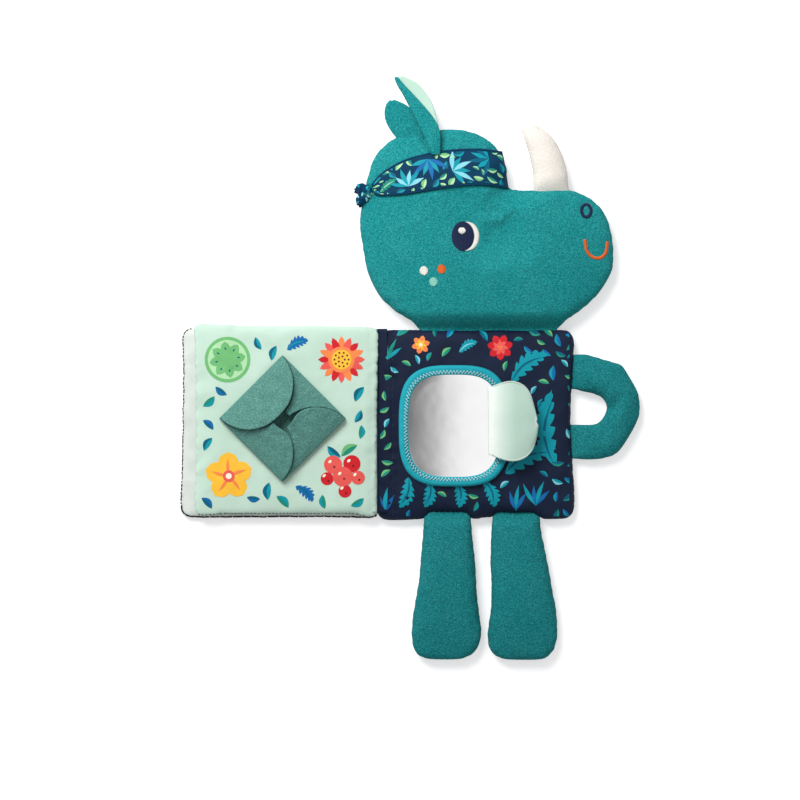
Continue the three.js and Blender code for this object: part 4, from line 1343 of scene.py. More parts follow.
night = star_flower(99, 62, 10.5, 7, "red", "coral", "orange")
night += star_flower(35, 64, 7.5, 6, "orange", "yellow", "cream")
for x, y, length, width, turn in (
    (103, -40, 46, 18, 26), (143, -34, 62, 18, 92), (108, 34, 38, 15, 38), (25, -43, 26, 12, -106),
    (42, -46, 22, 11, -100), (64, -47, 21, 11, -84), (86, -46, 23, 12, -68),
):
    night += frond("turquoise", "deep_teal", x, y, length, width, turn)
night += frond("turquoise", "sky", 66, 58, 17, 8, 30)
for x, y, turns in ((6, -72, (62, 84, 106)), (112, -70, (60, 84, 108)), (128, -66, (48, 72, 96, 120))):
    night += leaf_fan("blue", "turquoise", x, y, 21, turns, 3.4)
night += leaf_fan("turquoise", "sea_green", 8, 52, 19, (40, 66, 92, 118), 3.2)
night_taken = [(MIRROR_X + dx, MIRROR_Y + dy, 32) for dx in (-16, 16) for dy in (-20, 20)]
night_taken += [
    (100, 0, 20), (118, 0, 17), (99, 62, 11), (35, 64, 8), (72, 62, 9), (9, -58, 13), (9, 60, 12), (16, 58, 6),
    (112, -60, 9), (128, -57, 12), (118, -34, 12), (132, -26, 10), (140, -12, 9), (144, 6, 9), (143, 22, 8),
    (120, 42, 11), (32, -60, 8), (16, -58, 7), (40, -62, 8), (66, -62, 8), (92, -60, 9),
]
night_taken += [(x, -74, 3) for x in range(36, 136, 6)]
NIGHT_PAIRS = (
    ("turquoise", "sky"), ("sea_green", "fern"), ("deep_teal", "turquoise"), ("blue", "turquoise"),
    ("sea_green", "turquoise"), ("deep_teal", "sea_green"),
)
night_places = scatter(leaf_draw, (3, -74), (157, 75), 70, night_taken, (3.6, 6.2), 9000)
night += leaf_pairs(leaf_draw, night_places, NIGHT_PAIRS, 2.1, 0.9)
print_on("page_print", night, page_top, "page", "navy_cloth", (2.4, -74.5), (155, 75.5))
print(len(night), "shapes on the navy page")


# %% [markdown]
# ## Sheets
#
# Flap, headband, ears and spine are single cloths. Each is a grid of points given a thickness, closed at its
# four edges, so that it has two sides as real cloth has.

# %% A closed sheet
def normals_of(grid):
    normal = np.cross(np.gradient(grid, axis=0), np.gradient(grid, axis=1))
    return normal / np.maximum(np.linalg.norm(normal, axis=2, keepdims=True), 1e-12)


def slab(name, grid, thickness, material):
    """Cloth round a grid of points, shape (rows, columns, 3)."""
    grid = np.asarray(grid, float)
    rows, columns = grid.shape[:2]
    half = normals_of(grid) * thickness / 2
    vertices = [*(grid + half).reshape(-1, 3), *(grid - half).reshape(-1, 3)]
    under = rows * columns
    faces = []
    for i in range(rows - 1):
        a, b = i * columns, (i + 1) * columns
        for j in range(columns - 1):
            faces.append((a + j, b + j, b + j + 1, a + j + 1))
            faces.append((under + a + j + 1, under + b + j + 1, under + b + j, under + a + j))
        faces.append((a, under + a, under + b, b))
        a, b = a + columns - 1, b + columns - 1
        faces.append((b, under + b, under + a, a))
    last = (rows - 1) * columns
    for j in range(columns - 1):
        faces.append((j + 1, under + j + 1, under + j, j))
        faces.append((last + j, under + last + j, under + last + j + 1, last + j + 1))
    return add_mesh(name, vertices, faces, material)


def spline(points, count):
    """A smooth open line through points of any dimension, in equal steps."""
    points = np.asarray(points, float)
    ends = [2 * points[0] - points[1], *points, 2 * points[-1] - points[-2]]
    line = [
        curve_point(*four, t)
        for four in zip(ends, ends[1:], ends[2:], ends[3:])
        for t in np.linspace(0, 1, LINE_PARTS, endpoint=False)
    ]
    return equal_steps(np.array([*line, points[-1]]), count)


def spans_of(grid):
    """The longest row and the longest column of a grid: the size of the cut that it was folded from."""
    grid = np.asarray(grid, float)
    return max(map(length_of, grid)), max(map(length_of, grid.transpose(1, 0, 2)))


print("sheets are ready")


# %% [markdown]
# ## Mirror and its binding
#
# The mirror of a baby's book is silvered film on soft foam. It bulges by a millimetre or two, so it mirrors
# a piece of the sky and not one point of it, and its reflection runs from grey to white. The corner of the
# opening is a superellipse, between an ellipse and a rectangle.

# %% Mirror film
CORNER_POWER = 2 / 3.2


def opening(out, angle):
    """A point of the mirror's edge, moved out, from the gutter in millimetres."""
    reach = [(high - low) / 2 / MM + out for low, high in zip(mirror_low.xy, mirror_high.xy)]
    c, s = math.cos(angle), math.sin(angle)
    across, up = (math.copysign(abs(share) ** CORNER_POWER, share) for share in (c, s))
    return MIRROR_X + reach[0] * across, MIRROR_Y + reach[1] * up


def resample(points, count):
    """A closed line in count equal steps."""
    return equal_steps(np.array([*points, points[0]], float), count, closed=True)


def opening_loop(out, count):
    return resample([opening(out, a) for a in np.linspace(0, 2 * math.pi, 240, endpoint=False)], count)


film_low, film_high = mirror_low.z / MM, mirror_high.z / MM
BULGE, FILM_TUCK = 1.5, 0.4
FILM_SHARES = (1, 0.97, 0.94, 0.9, 0.8, 0.66, 0.5, 0.36, 0.22, 0.1)
FILM_COLUMNS = 96
FILM_TOP, FILM_FALL = (9, 6), (48, 52)  # the highest point from the middle, and how far off the bulge ends


def film_height(x, y, share):
    """Highest right of the middle, so that most of the film leans to the left. Its rim is held down."""
    across = (x - MIRROR_X - FILM_TOP[0]) / FILM_FALL[0]
    up = (y - MIRROR_Y - FILM_TOP[1]) / FILM_FALL[1]
    return film_high - FILM_TUCK + BULGE * (1 - across**2 - 0.55 * up**2) * min(1, (1 - share) / 0.1)


middle = np.array((MIRROR_X, MIRROR_Y))
film_rim = opening_loop(-FILM_TUCK, FILM_COLUMNS)
vertices = [at(*middle, film_low), at(*middle, film_height(*middle, 0))]
vertices += [at(*p, film_low) for p in film_rim]
for share in FILM_SHARES:
    for x, y in middle + share * (film_rim - middle):
        vertices.append(at(x, y, film_height(x, y, share)))
faces = fan(0, 2, FILM_COLUMNS, under=True)
faces += joined(1 + len(FILM_SHARES), FILM_COLUMNS, first=2)
faces += fan(1, 2 + FILM_COLUMNS * len(FILM_SHARES), FILM_COLUMNS)


def silvered():
    film = Cloth("silvered_film", roughness=0.09, metallic=1.0)
    haze = film.sharpen(film.grain(22 * MM, 3.0), 0.35, 0.7)
    film.colour(film.mix(haze * 0.4, (0.96, 0.96, 0.965), (0.91, 0.91, 0.915)))
    film.set("Roughness", haze * 0.05 + 0.07)
    film.bump(film.grain(30 * MM, 2.0) + film.grain(7 * MM, 2.0) * 0.06, 0.3 * MM, 0.5)
    return film.data


put_on(add_mesh("mirror_film", vertices, faces, silvered()), "page", "mirror_film", "mirror_sheet")
print("mirror bulges", BULGE, "mm")


# %% [markdown]
# The binding is a strip folded over the film's edge and sewn down with a zigzag. We sweep its arched section
# round the opening and let it ripple a little, as bias tape does in a bend. The zigzag is one real thread.

# %% Binding and zigzag
ring_top = top_of("mirror_binding") / MM
RING_IN, RING_OUT = -3.3, 4.4
RING_STEPS = 260


def ring_section(phase):
    """From the inner edge over the top to the outer edge: out and up, in millimetres."""
    ripple = 0.5 * rough(math.cos(phase) * 9, math.sin(phase) * 9, 5)
    base = film_high - 0.5
    return [
        (RING_IN + 0.5, base), (RING_IN, base + 0.9), (RING_IN + 0.3, base + 1.5),
        (RING_IN + 1.0, ring_top - 0.75), (RING_IN + 2.2, ring_top - 1.15), (-0.1, ring_top - 0.35 + ripple),
        (RING_OUT - 2.4, ring_top - 0.1 + ripple), (RING_OUT - 0.9, ring_top - 0.5 + ripple),
        (RING_OUT, film_low + 0.4), (RING_OUT - 0.3, film_low - 1.2), (RING_OUT - 2, film_low - 1.4),
    ]


ring_loops = {out: opening_loop(out, RING_STEPS) for out, _ in ring_section(0)}
vertices = []
for i in range(RING_STEPS):
    for out, z in ring_section(2 * math.pi * i / RING_STEPS):
        vertices.append(at(*ring_loops[out][i], z))
faces = joined(RING_STEPS, len(ring_section(0)), closed=True)
ring = add_mesh("ring_of_binding", vertices, faces, ring_cloth)
put_on(ring, "page", "ring_binding", "mirror_binding")
ring_surface = Surface(ring, missed=ring_top * MM)
ZIGZAG_POINTS, ZIGZAG_LIFT, ZIGZAG_RADIUS = 2 * 104, 0.5 * MM, 0.42 * MM
sides = opening_loop(0.2, ZIGZAG_POINTS), opening_loop(-2.4, ZIGZAG_POINTS)
zigzag = [ring_surface.lay(at(*sides[i % 2][i]), ZIGZAG_LIFT) for i in range(ZIGZAG_POINTS)]
pale_thread = thread_of("pale_cyan_thread", linear(222, 248, 248), linear(180, 230, 234))
zigzag_thread = tube_mesh("binding_zigzag", [zigzag], ZIGZAG_RADIUS, pale_thread, closed=True)
put_on(zigzag_thread, "page", "ring_binding")
print("zigzag with", ZIGZAG_POINTS // 2, "stitches")


# %% [markdown]
# ## Flap
#
# The flap is sewn under the binding at the mirror's right edge, comes out over the film, turns round in a soft
# fold and lies to the right. It is one cloth that crosses the hinge.

# %% Flap
flap_low, flap_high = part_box("mirror_flap_front")
flap_hinge = joint_of("flap")["pos_m"]
FOLD_X, FLAP_Y = from_gutter(*flap_hinge[:2])
FOLD_Z = flap_hinge[2] / MM
FLAP_REACH = (flap_high.x - GUTTER_X) / MM - FOLD_X - 4.6
FLAP_HALF = (flap_high.y - flap_low.y) / 2 / MM
FLAP_ROWS, FLAP_COLUMNS, FLAP_THICK = 48, 33, 1.5 * MM
flap_path = spline([
    (FOLD_X + 6.6, film_high + 0.9), (FOLD_X + 2.4, film_high + 1.2), (FOLD_X - 0.6, film_high + 1.8),
    (FOLD_X - 1.6, FOLD_Z + 0.4), (FOLD_X - 0.7, FOLD_Z + 2.6), (FOLD_X + 2.2, FOLD_Z + 4.4),
    (FOLD_X + FLAP_REACH * 0.24, FOLD_Z + 7.2), (FOLD_X + FLAP_REACH * 0.48, FOLD_Z + 9.4),
    (FOLD_X + FLAP_REACH * 0.76, FOLD_Z + 9.6), (FOLD_X + FLAP_REACH, FOLD_Z + 8.2),
], FLAP_ROWS)


def flap_weave():
    """Mint, with a painted highlight that turns it nearly white near the fold."""
    cloth = Cloth("flap_cloth", roughness=0.6, specular=0.2)
    across = cloth.node("SeparateXYZ", {0: cloth.place})
    # painted highlight: nearly white at the fold, fading to mint 22 mm to its right
    painted_fold_highlight = 1 - cloth.sharpen(across, at(FOLD_X + 1, 0).x, at(FOLD_X + 23, 0).x)
    soft = cloth.sharpen(cloth.grain(24 * MM, 2.0), 0.3, 0.72)
    mint = cloth.mix(soft * 0.5, linear(182, 209, 195), linear(168, 198, 182))
    cloth.colour(cloth.mix(painted_fold_highlight * painted_fold_highlight, mint, linear(232, 239, 232)))
    cloth.bump(cloth.grain(0.5 * MM, 2.0) * 0.2 + cloth.grain(6 * MM, 2.0), 0.3 * MM, 0.6)
    return cloth.data


flap_cloth = flap_weave()
flap_halves = spline([
    (0, 0.86), (0.25, 0.87), (0.38, 0.93), (0.52, 0.99), (0.64, 1.0), (0.76, 0.95), (0.86, 0.84), (0.935, 0.66),
    (0.98, 0.42), (1.0, 0.2),
], 80)
flap_grid = []
for share, (x, z) in zip(np.linspace(0, 1, len(flap_path)), flap_path):
    half = FLAP_HALF * float(np.interp(share, *flap_halves.T))
    row = []
    for v in np.linspace(-1, 1, FLAP_COLUMNS):
        dent = 1.2 * math.exp(-((share - 1) / 0.3) ** 2 - ((v + 0.1) / 0.3) ** 2)
        dip = 2.2 * share * v * v + 0.7 * rough(share * 3.2, v * 1.6, 8) * min(1, 3 * share)
        row.append(at(x - (1.4 * v * v + 1.2 * v) * share - dent, FLAP_Y + v * half, z - dip - 0.6 * dent))
    flap_grid.append(row)
flap = slab("flap_cloth", flap_grid, FLAP_THICK, flap_cloth)
soften(flap, 1, 1)
(FOLD_Z - 2.0) * MM
(FOLD_Z + 0.3) * MM
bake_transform(flap)
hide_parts("mirror_flap_root", "mirror_flap_lining", "mirror_flap_front")


# %% [markdown]
# The flap's free edge is overcast: a thread goes round the edge again and again. Each turn is a short tube
# that bows over the edge.

# %% Overcast edge
OVER, THIN, WIDE = 0.75 * MM, 0.24 * MM, 1.1 * MM
UP = Vector((0, 0, 1))


def overcast(edge, inward):
    """Short threads over the flap's edge. inward has a unit vector for each point of the edge."""
    bars = []
    for point, into in zip(edge, inward):
        out, foot = Vector(point - into * THIN * 1.4), Vector(point + into * WIDE)
        bars.append([
            foot + UP * (OVER - 0.2 * MM),
            foot.lerp(out, 0.3) + UP * (OVER + 0.22 * MM),
            foot.lerp(out, 0.75) + UP * (OVER + 0.16 * MM),
            out,
            foot.lerp(out, 0.7) - UP * OVER,
        ])
    return bars


grid = np.array(flap_grid, float)
free_rows = grid[14:]
flap_rim = spline(np.concatenate([free_rows[:, 0], grid[-1, 1:-1], free_rows[::-1, -1]]), 210)
into = units(grid[len(grid) * 2 // 3, FLAP_COLUMNS // 2] - flap_rim)
white_thread = thread_of("white_thread", linear(226, 242, 232), linear(196, 220, 206))
put_on(tube_mesh("flap_overcast", overcast(flap_rim, into), THIN, white_thread), "flap", "flap_cloth")
print("overcast with", len(flap_rim), "turns")


# %% [markdown]
# ## Felt pocket
#
# Four half-round petals fold inwards over a square of felt. Felt is one solid mat of wool, cut with scissors:
# its edge is square and a little fuzzy. A copy of each petal's solid is remeshed finely and its edges relax.
# Each petal then lifts from its hinge towards its round edge, the top one the most, so the edges show.
# Opened, it lies on the leaf, where its bulge points down into the leaf.

# %% Petals and base
POCKET_X, POCKET_Y = -76.5, 4.5
PETAL_LIFTS = {  # how far each lifts and how far its tip keeps from the middle, in millimetres
    "petal_north_west": (7.5, 0.8),
    "petal_south_west": (5.0, 5.0),
    "petal_south_east": (4.6, 5.5),
    "petal_north_east": (1.4, 3.0),
}
FELT_VOXEL, FELT_SWELL = 0.62 * MM, 0.2 * MM


def felt_copy(node, name):
    mesh = frame["nodes"][node].data.copy()
    mesh.name = name
    mesh.materials.clear()
    mesh.materials.append(felt)
    piece = bpy.data.objects.new(name, mesh)
    bpy.context.scene.collection.objects.link(piece)
    voxels = piece.modifiers.new("mat", "REMESH")
    voxels.mode, voxels.voxel_size = "VOXEL", FELT_VOXEL
    soften(piece, 2, 0)
    for polygon in piece.data.polygons:
        polygon.use_smooth = True
    return piece


base = put_on(felt_copy("pocket_base", "felt_base"), "leaf", "felt", "pocket_base")
base_low, base_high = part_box("pocket_base")
POCKET_SIDE, PETAL_DEPTH = (base_high.x - base_low.x) / math.sqrt(2), 33.5 * MM
pocket_middle = np.array(at(POCKET_X, POCKET_Y).xy)
for node, (lift, gap) in PETAL_LIFTS.items():
    joint = joint_of(node + "_body")
    hinge = np.array(joint["pos_m"])
    inward = units(pocket_middle - hinge[:2])
    petal = felt_copy(node, node + "_felt")
    co = coordinates(petal)
    reach = np.clip((co[:, :2] - hinge[:2]) @ inward / PETAL_DEPTH, 0, 1)
    normals = vertex_normals(petal)
    fuzz = np.array([noise.noise(Vector(p) / (7 * MM)) for p in co])
    co[:, :2] += normals[:, :2] * FELT_SWELL
    thicker = (normals[:, 2] > 0.3) * 0.9 * np.minimum(reach * 6, 1)
    raised = reach**1.4 * lift + fuzz * reach * 1.4 + np.sin(math.pi * reach) * 1.4
    co[:, 2] += (thicker + raised) * MM
    away = np.linalg.norm(co[:, :2] - pocket_middle, axis=1, keepdims=True)
    co[:, :2] -= inward * gap * MM * np.exp(-((away / (11 * MM)) ** 2))
    place_vertices(petal, co)
    put_on(petal, node + "_body", "felt", node)
    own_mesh(petal)
print("felt petals:", list(PETAL_LIFTS), "of", round(POCKET_SIDE / MM), "by", round(PETAL_DEPTH / MM), "mm")


# %% [markdown]
# ## Spine
#
# Page, leaf and cover meet in the gutter. A strip of navy cloth runs from the page's seam down into the
# gutter and up to the cover. On the book it opens into a round spine when the cover turns; here it is fixed
# where it lies.

# %% Spine cloths
SPINE_ROWS, SPINE_STOPS, SPINE_THICK, PAST_END = 26, 64, 0.7 * MM, 6


def spine_strip(name, path, material, slot, *pages):
    """A strip along the gutter whose section is a path of (x, z) in millimetres. pages is not used."""
    section = spline(path, SPINE_ROWS)
    ends = [from_gutter(0, y)[1] for y in (gutter_low.y, gutter_high.y)]
    stops = np.linspace(ends[0] - PAST_END, ends[1] + PAST_END, SPINE_STOPS)
    grid = [[at(x + 0.25 * rough(y / 7, z, 1), y, z) for y in stops] for x, z in section]
    strip = slab(name, grid, SPINE_THICK, material)
    return strip


crown = page_top.height(*at(9, 0).xy) / MM
spine_edge = [(-3.4, 3.6), (-1.9, 3.4), (-0.8, 2.6), (0.2, 2.2), (1.0, 3.4), (1.7, 6.6), (3.4, 7.2)]
leaf_edge = [(-7.0, 11.7), (-3.8, 11.7), (-1.7, 11.3), (-0.7, 9.9), (-1.0, 8.4), (-2.6, 7.2), (-5.2, 6.6)]
page_edge = [
    (8, crown - 1.6), (4.2, crown - 2.2), (1.2, crown - 3.4), (-0.3, crown - 5.6), (-0.6, 7), (-0.2, 3.4),
]
spine = spine_strip("spine_cloth", spine_edge, navy_cloth, "navy_cloth", "cover", "page")
tuple(at(1.4, 0))
tuple(at(-1.7, 0))
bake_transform(spine)
leaf_hinge = spine_strip("leaf_hinge_cloth", leaf_edge, mint_cloth, "mint_cloth", "cover", "leaf")
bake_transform(leaf_hinge)
page_hinge = spine_strip("page_hinge_cloth", page_edge, navy_cloth, "navy_cloth", "page")
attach(page_hinge, "page")
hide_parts("gutter_binding")
print("three strips in the gutter, the page's crown is", round(crown, 1), "mm high")


# %% [markdown]
# ## Embroidery
#
# Satin stitch fills a shape with parallel threads that lie close together and bow up over the cloth. Each
# thread here is a tube that dives into the plush at both ends. A stroke is stitched across its own line.

# %% Satin stitch
THREAD, THREAD_STEP, DIVE = 0.27 * MM, 1.6 * MM, 0.25 * MM
ROW, STITCH = 1.75 * THREAD / MM, 1.7 * THREAD / MM


def bowed(surface, start, end, rise):
    """One thread from start to end over the surface, which dives in at both ends."""
    start, end = Vector(start), Vector(end)
    count = max(4, round((end - start).length / THREAD_STEP))
    points = []
    for k in range(count + 1):
        t = k / count
        lift = rise * math.sin(math.pi * t) ** 0.5 - DIVE * (k in (0, count))
        points.append(surface.lay(start.lerp(end, t), lift))
    return points


def satin(name, loop, surface, material, angle, rise):
    """Parallel threads in a loop, given in millimetres from the gutter."""
    threads = []
    flat = turned(loop, -angle)
    after = np.roll(flat, -1, axis=0)
    y = flat[:, 1].min() + 0.1
    while y < flat[:, 1].max():
        spans = (flat[:, 1] > y) != (after[:, 1] > y)
        share = (y - flat[spans, 1]) / (after[spans, 1] - flat[spans, 1])
        xs = sorted(flat[spans, 0] + share * (after[spans, 0] - flat[spans, 0]))
        for a, b in zip(xs[::2], xs[1::2]):
            ends = turned([(a, y), (b, y)], angle)
            threads.append(bowed(surface, at(*ends[0]), at(*ends[1]), rise * MM))
        y += ROW
    return put_on(tube_mesh(name, threads, THREAD, material), "head", "plush")


def stroke(name, line, width, material, closed=False):
    """Threads across a line, given in millimetres from the gutter."""
    line = np.asarray(line, float)
    count = max(4, int(length_of(line) / STITCH))
    points = resample(line, count) if closed else spline(line, count)
    threads = []
    for i, p in enumerate(points):
        before = points[i - 1] if i or closed else points[0]
        after = points[(i + 1) % count] if closed or i + 1 < count else points[-1]
        along = (after - before) / max(np.linalg.norm(after - before), 1e-9)
        side = np.array((-along[1], along[0])) * width / 2
        threads.append(bowed(head_top, at(*(p - side)), at(*(p + side)), 0.6 * MM))
    put_on(tube_mesh(name, threads, THREAD, material), "head", "plush")


print("satin stitch is ready")


# %% [markdown]
# The eye is a navy oval in satin stitch with a pale crescent beside it and a small highlight on top. The
# nostril is a stitched ring, the mouth a short curve, and three dots mark the cheek.

# %% Face
navy_thread = thread_of("navy_thread", linear(26, 34, 66), linear(48, 60, 98))
cream_thread = thread_of("cream_thread", linear(246, 244, 236), linear(222, 222, 214))
orange_thread = thread_of("orange_thread", linear(240, 118, 52), linear(206, 88, 36))
mint_thread = thread_of("mint_thread", linear(158, 222, 204), linear(116, 194, 176))
EYE_X, EYE_Y = 68.7, 151.0
EYE_HALF, EYE_TALL = 9.2, 1.3
CRESCENT_WIDTH = 4.2


def crescent(x, y, radius, tall):
    """What an ellipse moved to the right shows beside itself."""
    angles = np.linspace(-math.pi / 2, math.pi / 2, 22)
    rim = np.stack([radius * np.cos(angles), radius * tall * np.sin(angles)], axis=1)
    return np.concatenate([rim + (CRESCENT_WIDTH, 0), rim[::-1]]) + (x, y)


satin("eye_white", crescent(EYE_X, EYE_Y, EYE_HALF, EYE_TALL * 0.96), head_top, cream_thread, 0, 0.4)
eye = satin("eye_oval", disc(EYE_X, EYE_Y, EYE_HALF, EYE_TALL, points=40), head_top, navy_thread, 0, 0.75)
eye_top = Surface(eye, missed=top_of("head_front_panel"))
satin("eye_highlight", disc(EYE_X - 0.8, EYE_Y + 4.4, 2.9), eye_top, cream_thread, 90, 0.5)
stroke("nostril", disc(168.4, 172.0, 3.9, 1.35, points=30), 2.6, navy_thread, closed=True)
MOUTH = [(167, 148.5), (168.6, 139.5), (173.4, 134.6), (179.6, 134.0), (184.2, 138.4), (185.6, 147.0)]
stroke("mouth", MOUTH, 2.5, orange_thread)
for side, x, y, thread in (
    ("low", 45.2, 114.5, mint_thread), ("left", 37.4, 123.4, cream_thread),
    ("right", 51.6, 124.6, orange_thread),
):
    satin("cheek_dot_" + side, disc(x, y, 3.6), head_top, thread, 12, 0.6)
print("face stitched")


# %% [markdown]
# ## Headband and knot
#
# The band is a strip with a turned hem along both edges, laid over the brow from the knot to the front of the
# head, where it goes round the edge.

# %% Headband
BAND_UPPER = [
    (-4.5, 192.5), (3.4, 201.4), (19.5, 211.0), (37.6, 216.6), (57.0, 219.9), (80.8, 221.2), (101, 219.5),
]
BAND_LOWER = [
    (-2.5, 186.0), (3.0, 184.4), (22.0, 185.2), (42.4, 188.4), (61.8, 191.2), (82.8, 192.6), (105.6, 190.6),
]
BAND_ROWS, BAND_COLUMNS, BAND_THICK = 60, 15, 1.1 * MM
BAND_LIFT, HEM_LIFT, HEM_RADIUS = 1.25, Vector((0, 0, 0.1 * MM)), 0.85 * MM
band_edges = spline(BAND_LOWER, BAND_ROWS), spline(BAND_UPPER, BAND_ROWS)
band_floor = top_of("head_back_panel")
band_grid = []
for i in range(BAND_ROWS):
    row = []
    for j in range(BAND_COLUMNS):
        v = j / (BAND_COLUMNS - 1)
        x, y = band_edges[0][i] * (1 - v) + band_edges[1][i] * v
        wave = 0.5 * rough(x / 16, y / 5, 2) + 0.4 * rough(x / 7, y / 9, 6)
        gather = math.exp(-i / 5) * math.sin(v * 17) * 0.7
        point = head_top.lay(at(x, y), (BAND_LIFT + 0.5 * wave + gather) * MM)
        point.z = max(point.z, band_floor + 0.8 * MM)
        row.append(point)
    band_grid.append(row)
band_cloth = woven("band_cloth", linear(0, 48, 80), linear(2, 70, 98), 0.6)
band = put_on(slab("headband_cloth", band_grid, BAND_THICK, band_cloth), "head", "band_cloth", "headband")
hems = [[row[k] + HEM_LIFT for row in band_grid] for k in (0, -1)]
put_on(tube_mesh("headband_hems", hems, HEM_RADIUS, band_cloth, sides=8), "head", "band_cloth")

# %% [markdown]
# The band's print is drawn on the flat strip, along and across it, and then bent with the strip.

# %% Leaves on the band
band_top = Surface(band, missed=band_floor)
BAND_LENGTH, BAND_WIDTH = 110, 29
BAND_PAIRS = (
    ("fern", "pale_green"), ("pale_green", "fern"), ("sea_green", "pale_green"), ("turquoise", "deep_teal"),
    ("deep_teal", "turquoise"),
)


def on_band(along, across):
    """Millimetres along and across the flat strip, as a place on the head."""
    row = along / BAND_LENGTH * (BAND_ROWS - 1)
    low, high = (
        np.array([np.interp(row, range(BAND_ROWS), edge[:, k]) for k in (0, 1)]) for edge in band_edges
    )
    return at(*(low + (high - low) * across / BAND_WIDTH))


band_draw = random.Random(5)
band_shapes, band_taken = [], []
for x, y, first, ink, other in (
    (30, 6, 18, "sky", "turquoise"), (67, 12, -58, "turquoise", "sky"), (98, 22, 108, "turquoise", "deep_teal"),
    (50, 25, 188, "turquoise", "blue"),
):
    band_shapes += leaf_fan(ink, other, x, y, 18, range(first, first + 140, 27), 3.7)
    way = math.radians(first + 60)
    band_taken.append((x + 7 * math.cos(way), y + 7 * math.sin(way), 9))
band_shapes += frond("sea_green", "pale_green", 6, 5, 20, 9, 35)
band_taken.append((14, 11, 8))
band_places = scatter(band_draw, (2, 2), (108, 27), 22, band_taken, (3.4, 4.2), 6000)
band_places += scatter(band_draw, (1, 0), (109, 29), 60, band_taken, (2.2, 3.0), 6000)
band_shapes += leaf_pairs(band_draw, band_places, BAND_PAIRS, 2.3, 1.1)
print_on("band_print", band_shapes, band_top, "head", "band_cloth", (0.5, 1.4), (109, 27.6), on_band)
print(len(band_shapes), "shapes on the band")

# %% [markdown]
# The knot's cloth is gathered, so its radius rises and falls round its long axis. Two smaller lumps beside it
# are made the same way, and two short ends stick out.

# %% Knot
knot_low, knot_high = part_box("headband_knot")
knot_middle = (knot_low + knot_high) / 2 + Vector((2.4 * MM, 0, 0))
KNOT_ROWS, KNOT_COLUMNS = 22, 40
GATHERS, CREASES = 0.09, 0.13  # how deep they are, as shares of the knot's radius
END_ROWS, END_COLUMNS, END_THICK, END_DEPTH = 18, 15, 0.9 * MM, 10.2 * MM
KNOT_INKS = ["turquoise", "fern", "sea_green", "sky", "deep_teal"]


def turned3(point, degrees):
    return Matrix.Rotation(math.radians(degrees), 3, "Z") @ Vector(point)


def crumpled(name, middle, size, turn, ridges, seed):
    """A ball of gathered cloth. Sizes and middle are in millimetres, the middle from the knot's."""
    middle, halves = knot_middle + Vector(middle) * MM, [s / 2 * MM for s in size]
    vertices = [middle + turned3((-halves[0], 0, 0), turn)]
    for i in range(1, KNOT_ROWS):
        polar = math.pi * i / KNOT_ROWS
        for j in range(KNOT_COLUMNS):
            angle = 2 * math.pi * j / KNOT_COLUMNS
            c, s = math.cos(angle), math.sin(angle)
            swirl = math.cos(ridges * (angle + 0.7 * math.cos(polar)))
            fold = 1 + GATHERS * swirl + CREASES * rough(2 * c, 2 * s, seed + polar)
            ring = math.sin(polar) ** 0.8 * fold
            local = (-math.cos(polar) * halves[0], ring * halves[1] * c, ring * halves[2] * s)
            vertices.append(middle + turned3(local, turn))
    vertices.append(middle + turned3((halves[0], 0, 0), turn))
    faces = fan(0, 1, KNOT_COLUMNS, under=True) + joined(KNOT_ROWS - 1, KNOT_COLUMNS, first=1)
    faces += fan(len(vertices) - 1, 1 + (KNOT_ROWS - 2) * KNOT_COLUMNS, KNOT_COLUMNS)
    return put_on(add_mesh(name, vertices, faces, band_cloth), "head", "band_cloth")


knot = crumpled("knot_ball", (0, 0, 0), (15.5, 12.5, 11.5), 66, 6, 1)
lumps = [
    crumpled("knot_lump_low", (-3.6, -4.6, 1.0), (9.5, 8, 8.5), 20, 5, 2),
    crumpled("knot_lump_high", (-3.8, 4.0, 1.6), (9, 8.5, 8), 110, 5, 4),
]
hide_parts("headband_knot")
for name, turn, length, wide in (("knot_end_up", 152, 6.0, 3.2), ("knot_end_down", 240, 7.5, 3.6)):
    grid = []
    for t in np.linspace(0, 1, END_ROWS):
        half = 2.6 + (wide - 2.6) * t
        row = []
        for v in np.linspace(-1, 1, END_COLUMNS):
            wave = (1.4 + t) * math.sin(4.2 * v + 1 + 2 * t) + 0.7 * t * math.cos(8 * v)
            out = 4.0 + t * length - 1.6 * t * v * v + 0.5 * t * math.sin(9 * v)
            row.append(knot_middle + turned3((out * MM, v * half * MM, (wave - 2 * t) * MM), turn))
        grid.append(row)
    end = put_on(slab(name, grid, END_THICK, band_cloth), "head", "band_cloth")
    width, length = spans_of(grid)
fleck_draw = random.Random(3)
knot_x, knot_y = from_gutter(*knot_middle.xy)
flecks = []
for k in range(24):
    x, y = knot_x + fleck_draw.uniform(-6, 6), knot_y + fleck_draw.uniform(-6, 6)
    ink = fleck_draw.choice(KNOT_INKS)
    flecks.append((ink, k % 3, leaf(x, y, 3.6, 1.6, fleck_draw.uniform(0, 360))))
knot_top = Surface(knot, *lumps, missed=knot_middle.z)
print_on("band_fleck", flecks, knot_top, "head", "band_cloth", (-22, 172), (-2, 200))
print("knot tied")


# %% [markdown]
# ## Horn and ears
#
# The horn is a cream velvet cone, stuffed and bent back towards the brow. Its line is a curve, its section an
# ellipse, and its end is blunt, because the filling rounds it.

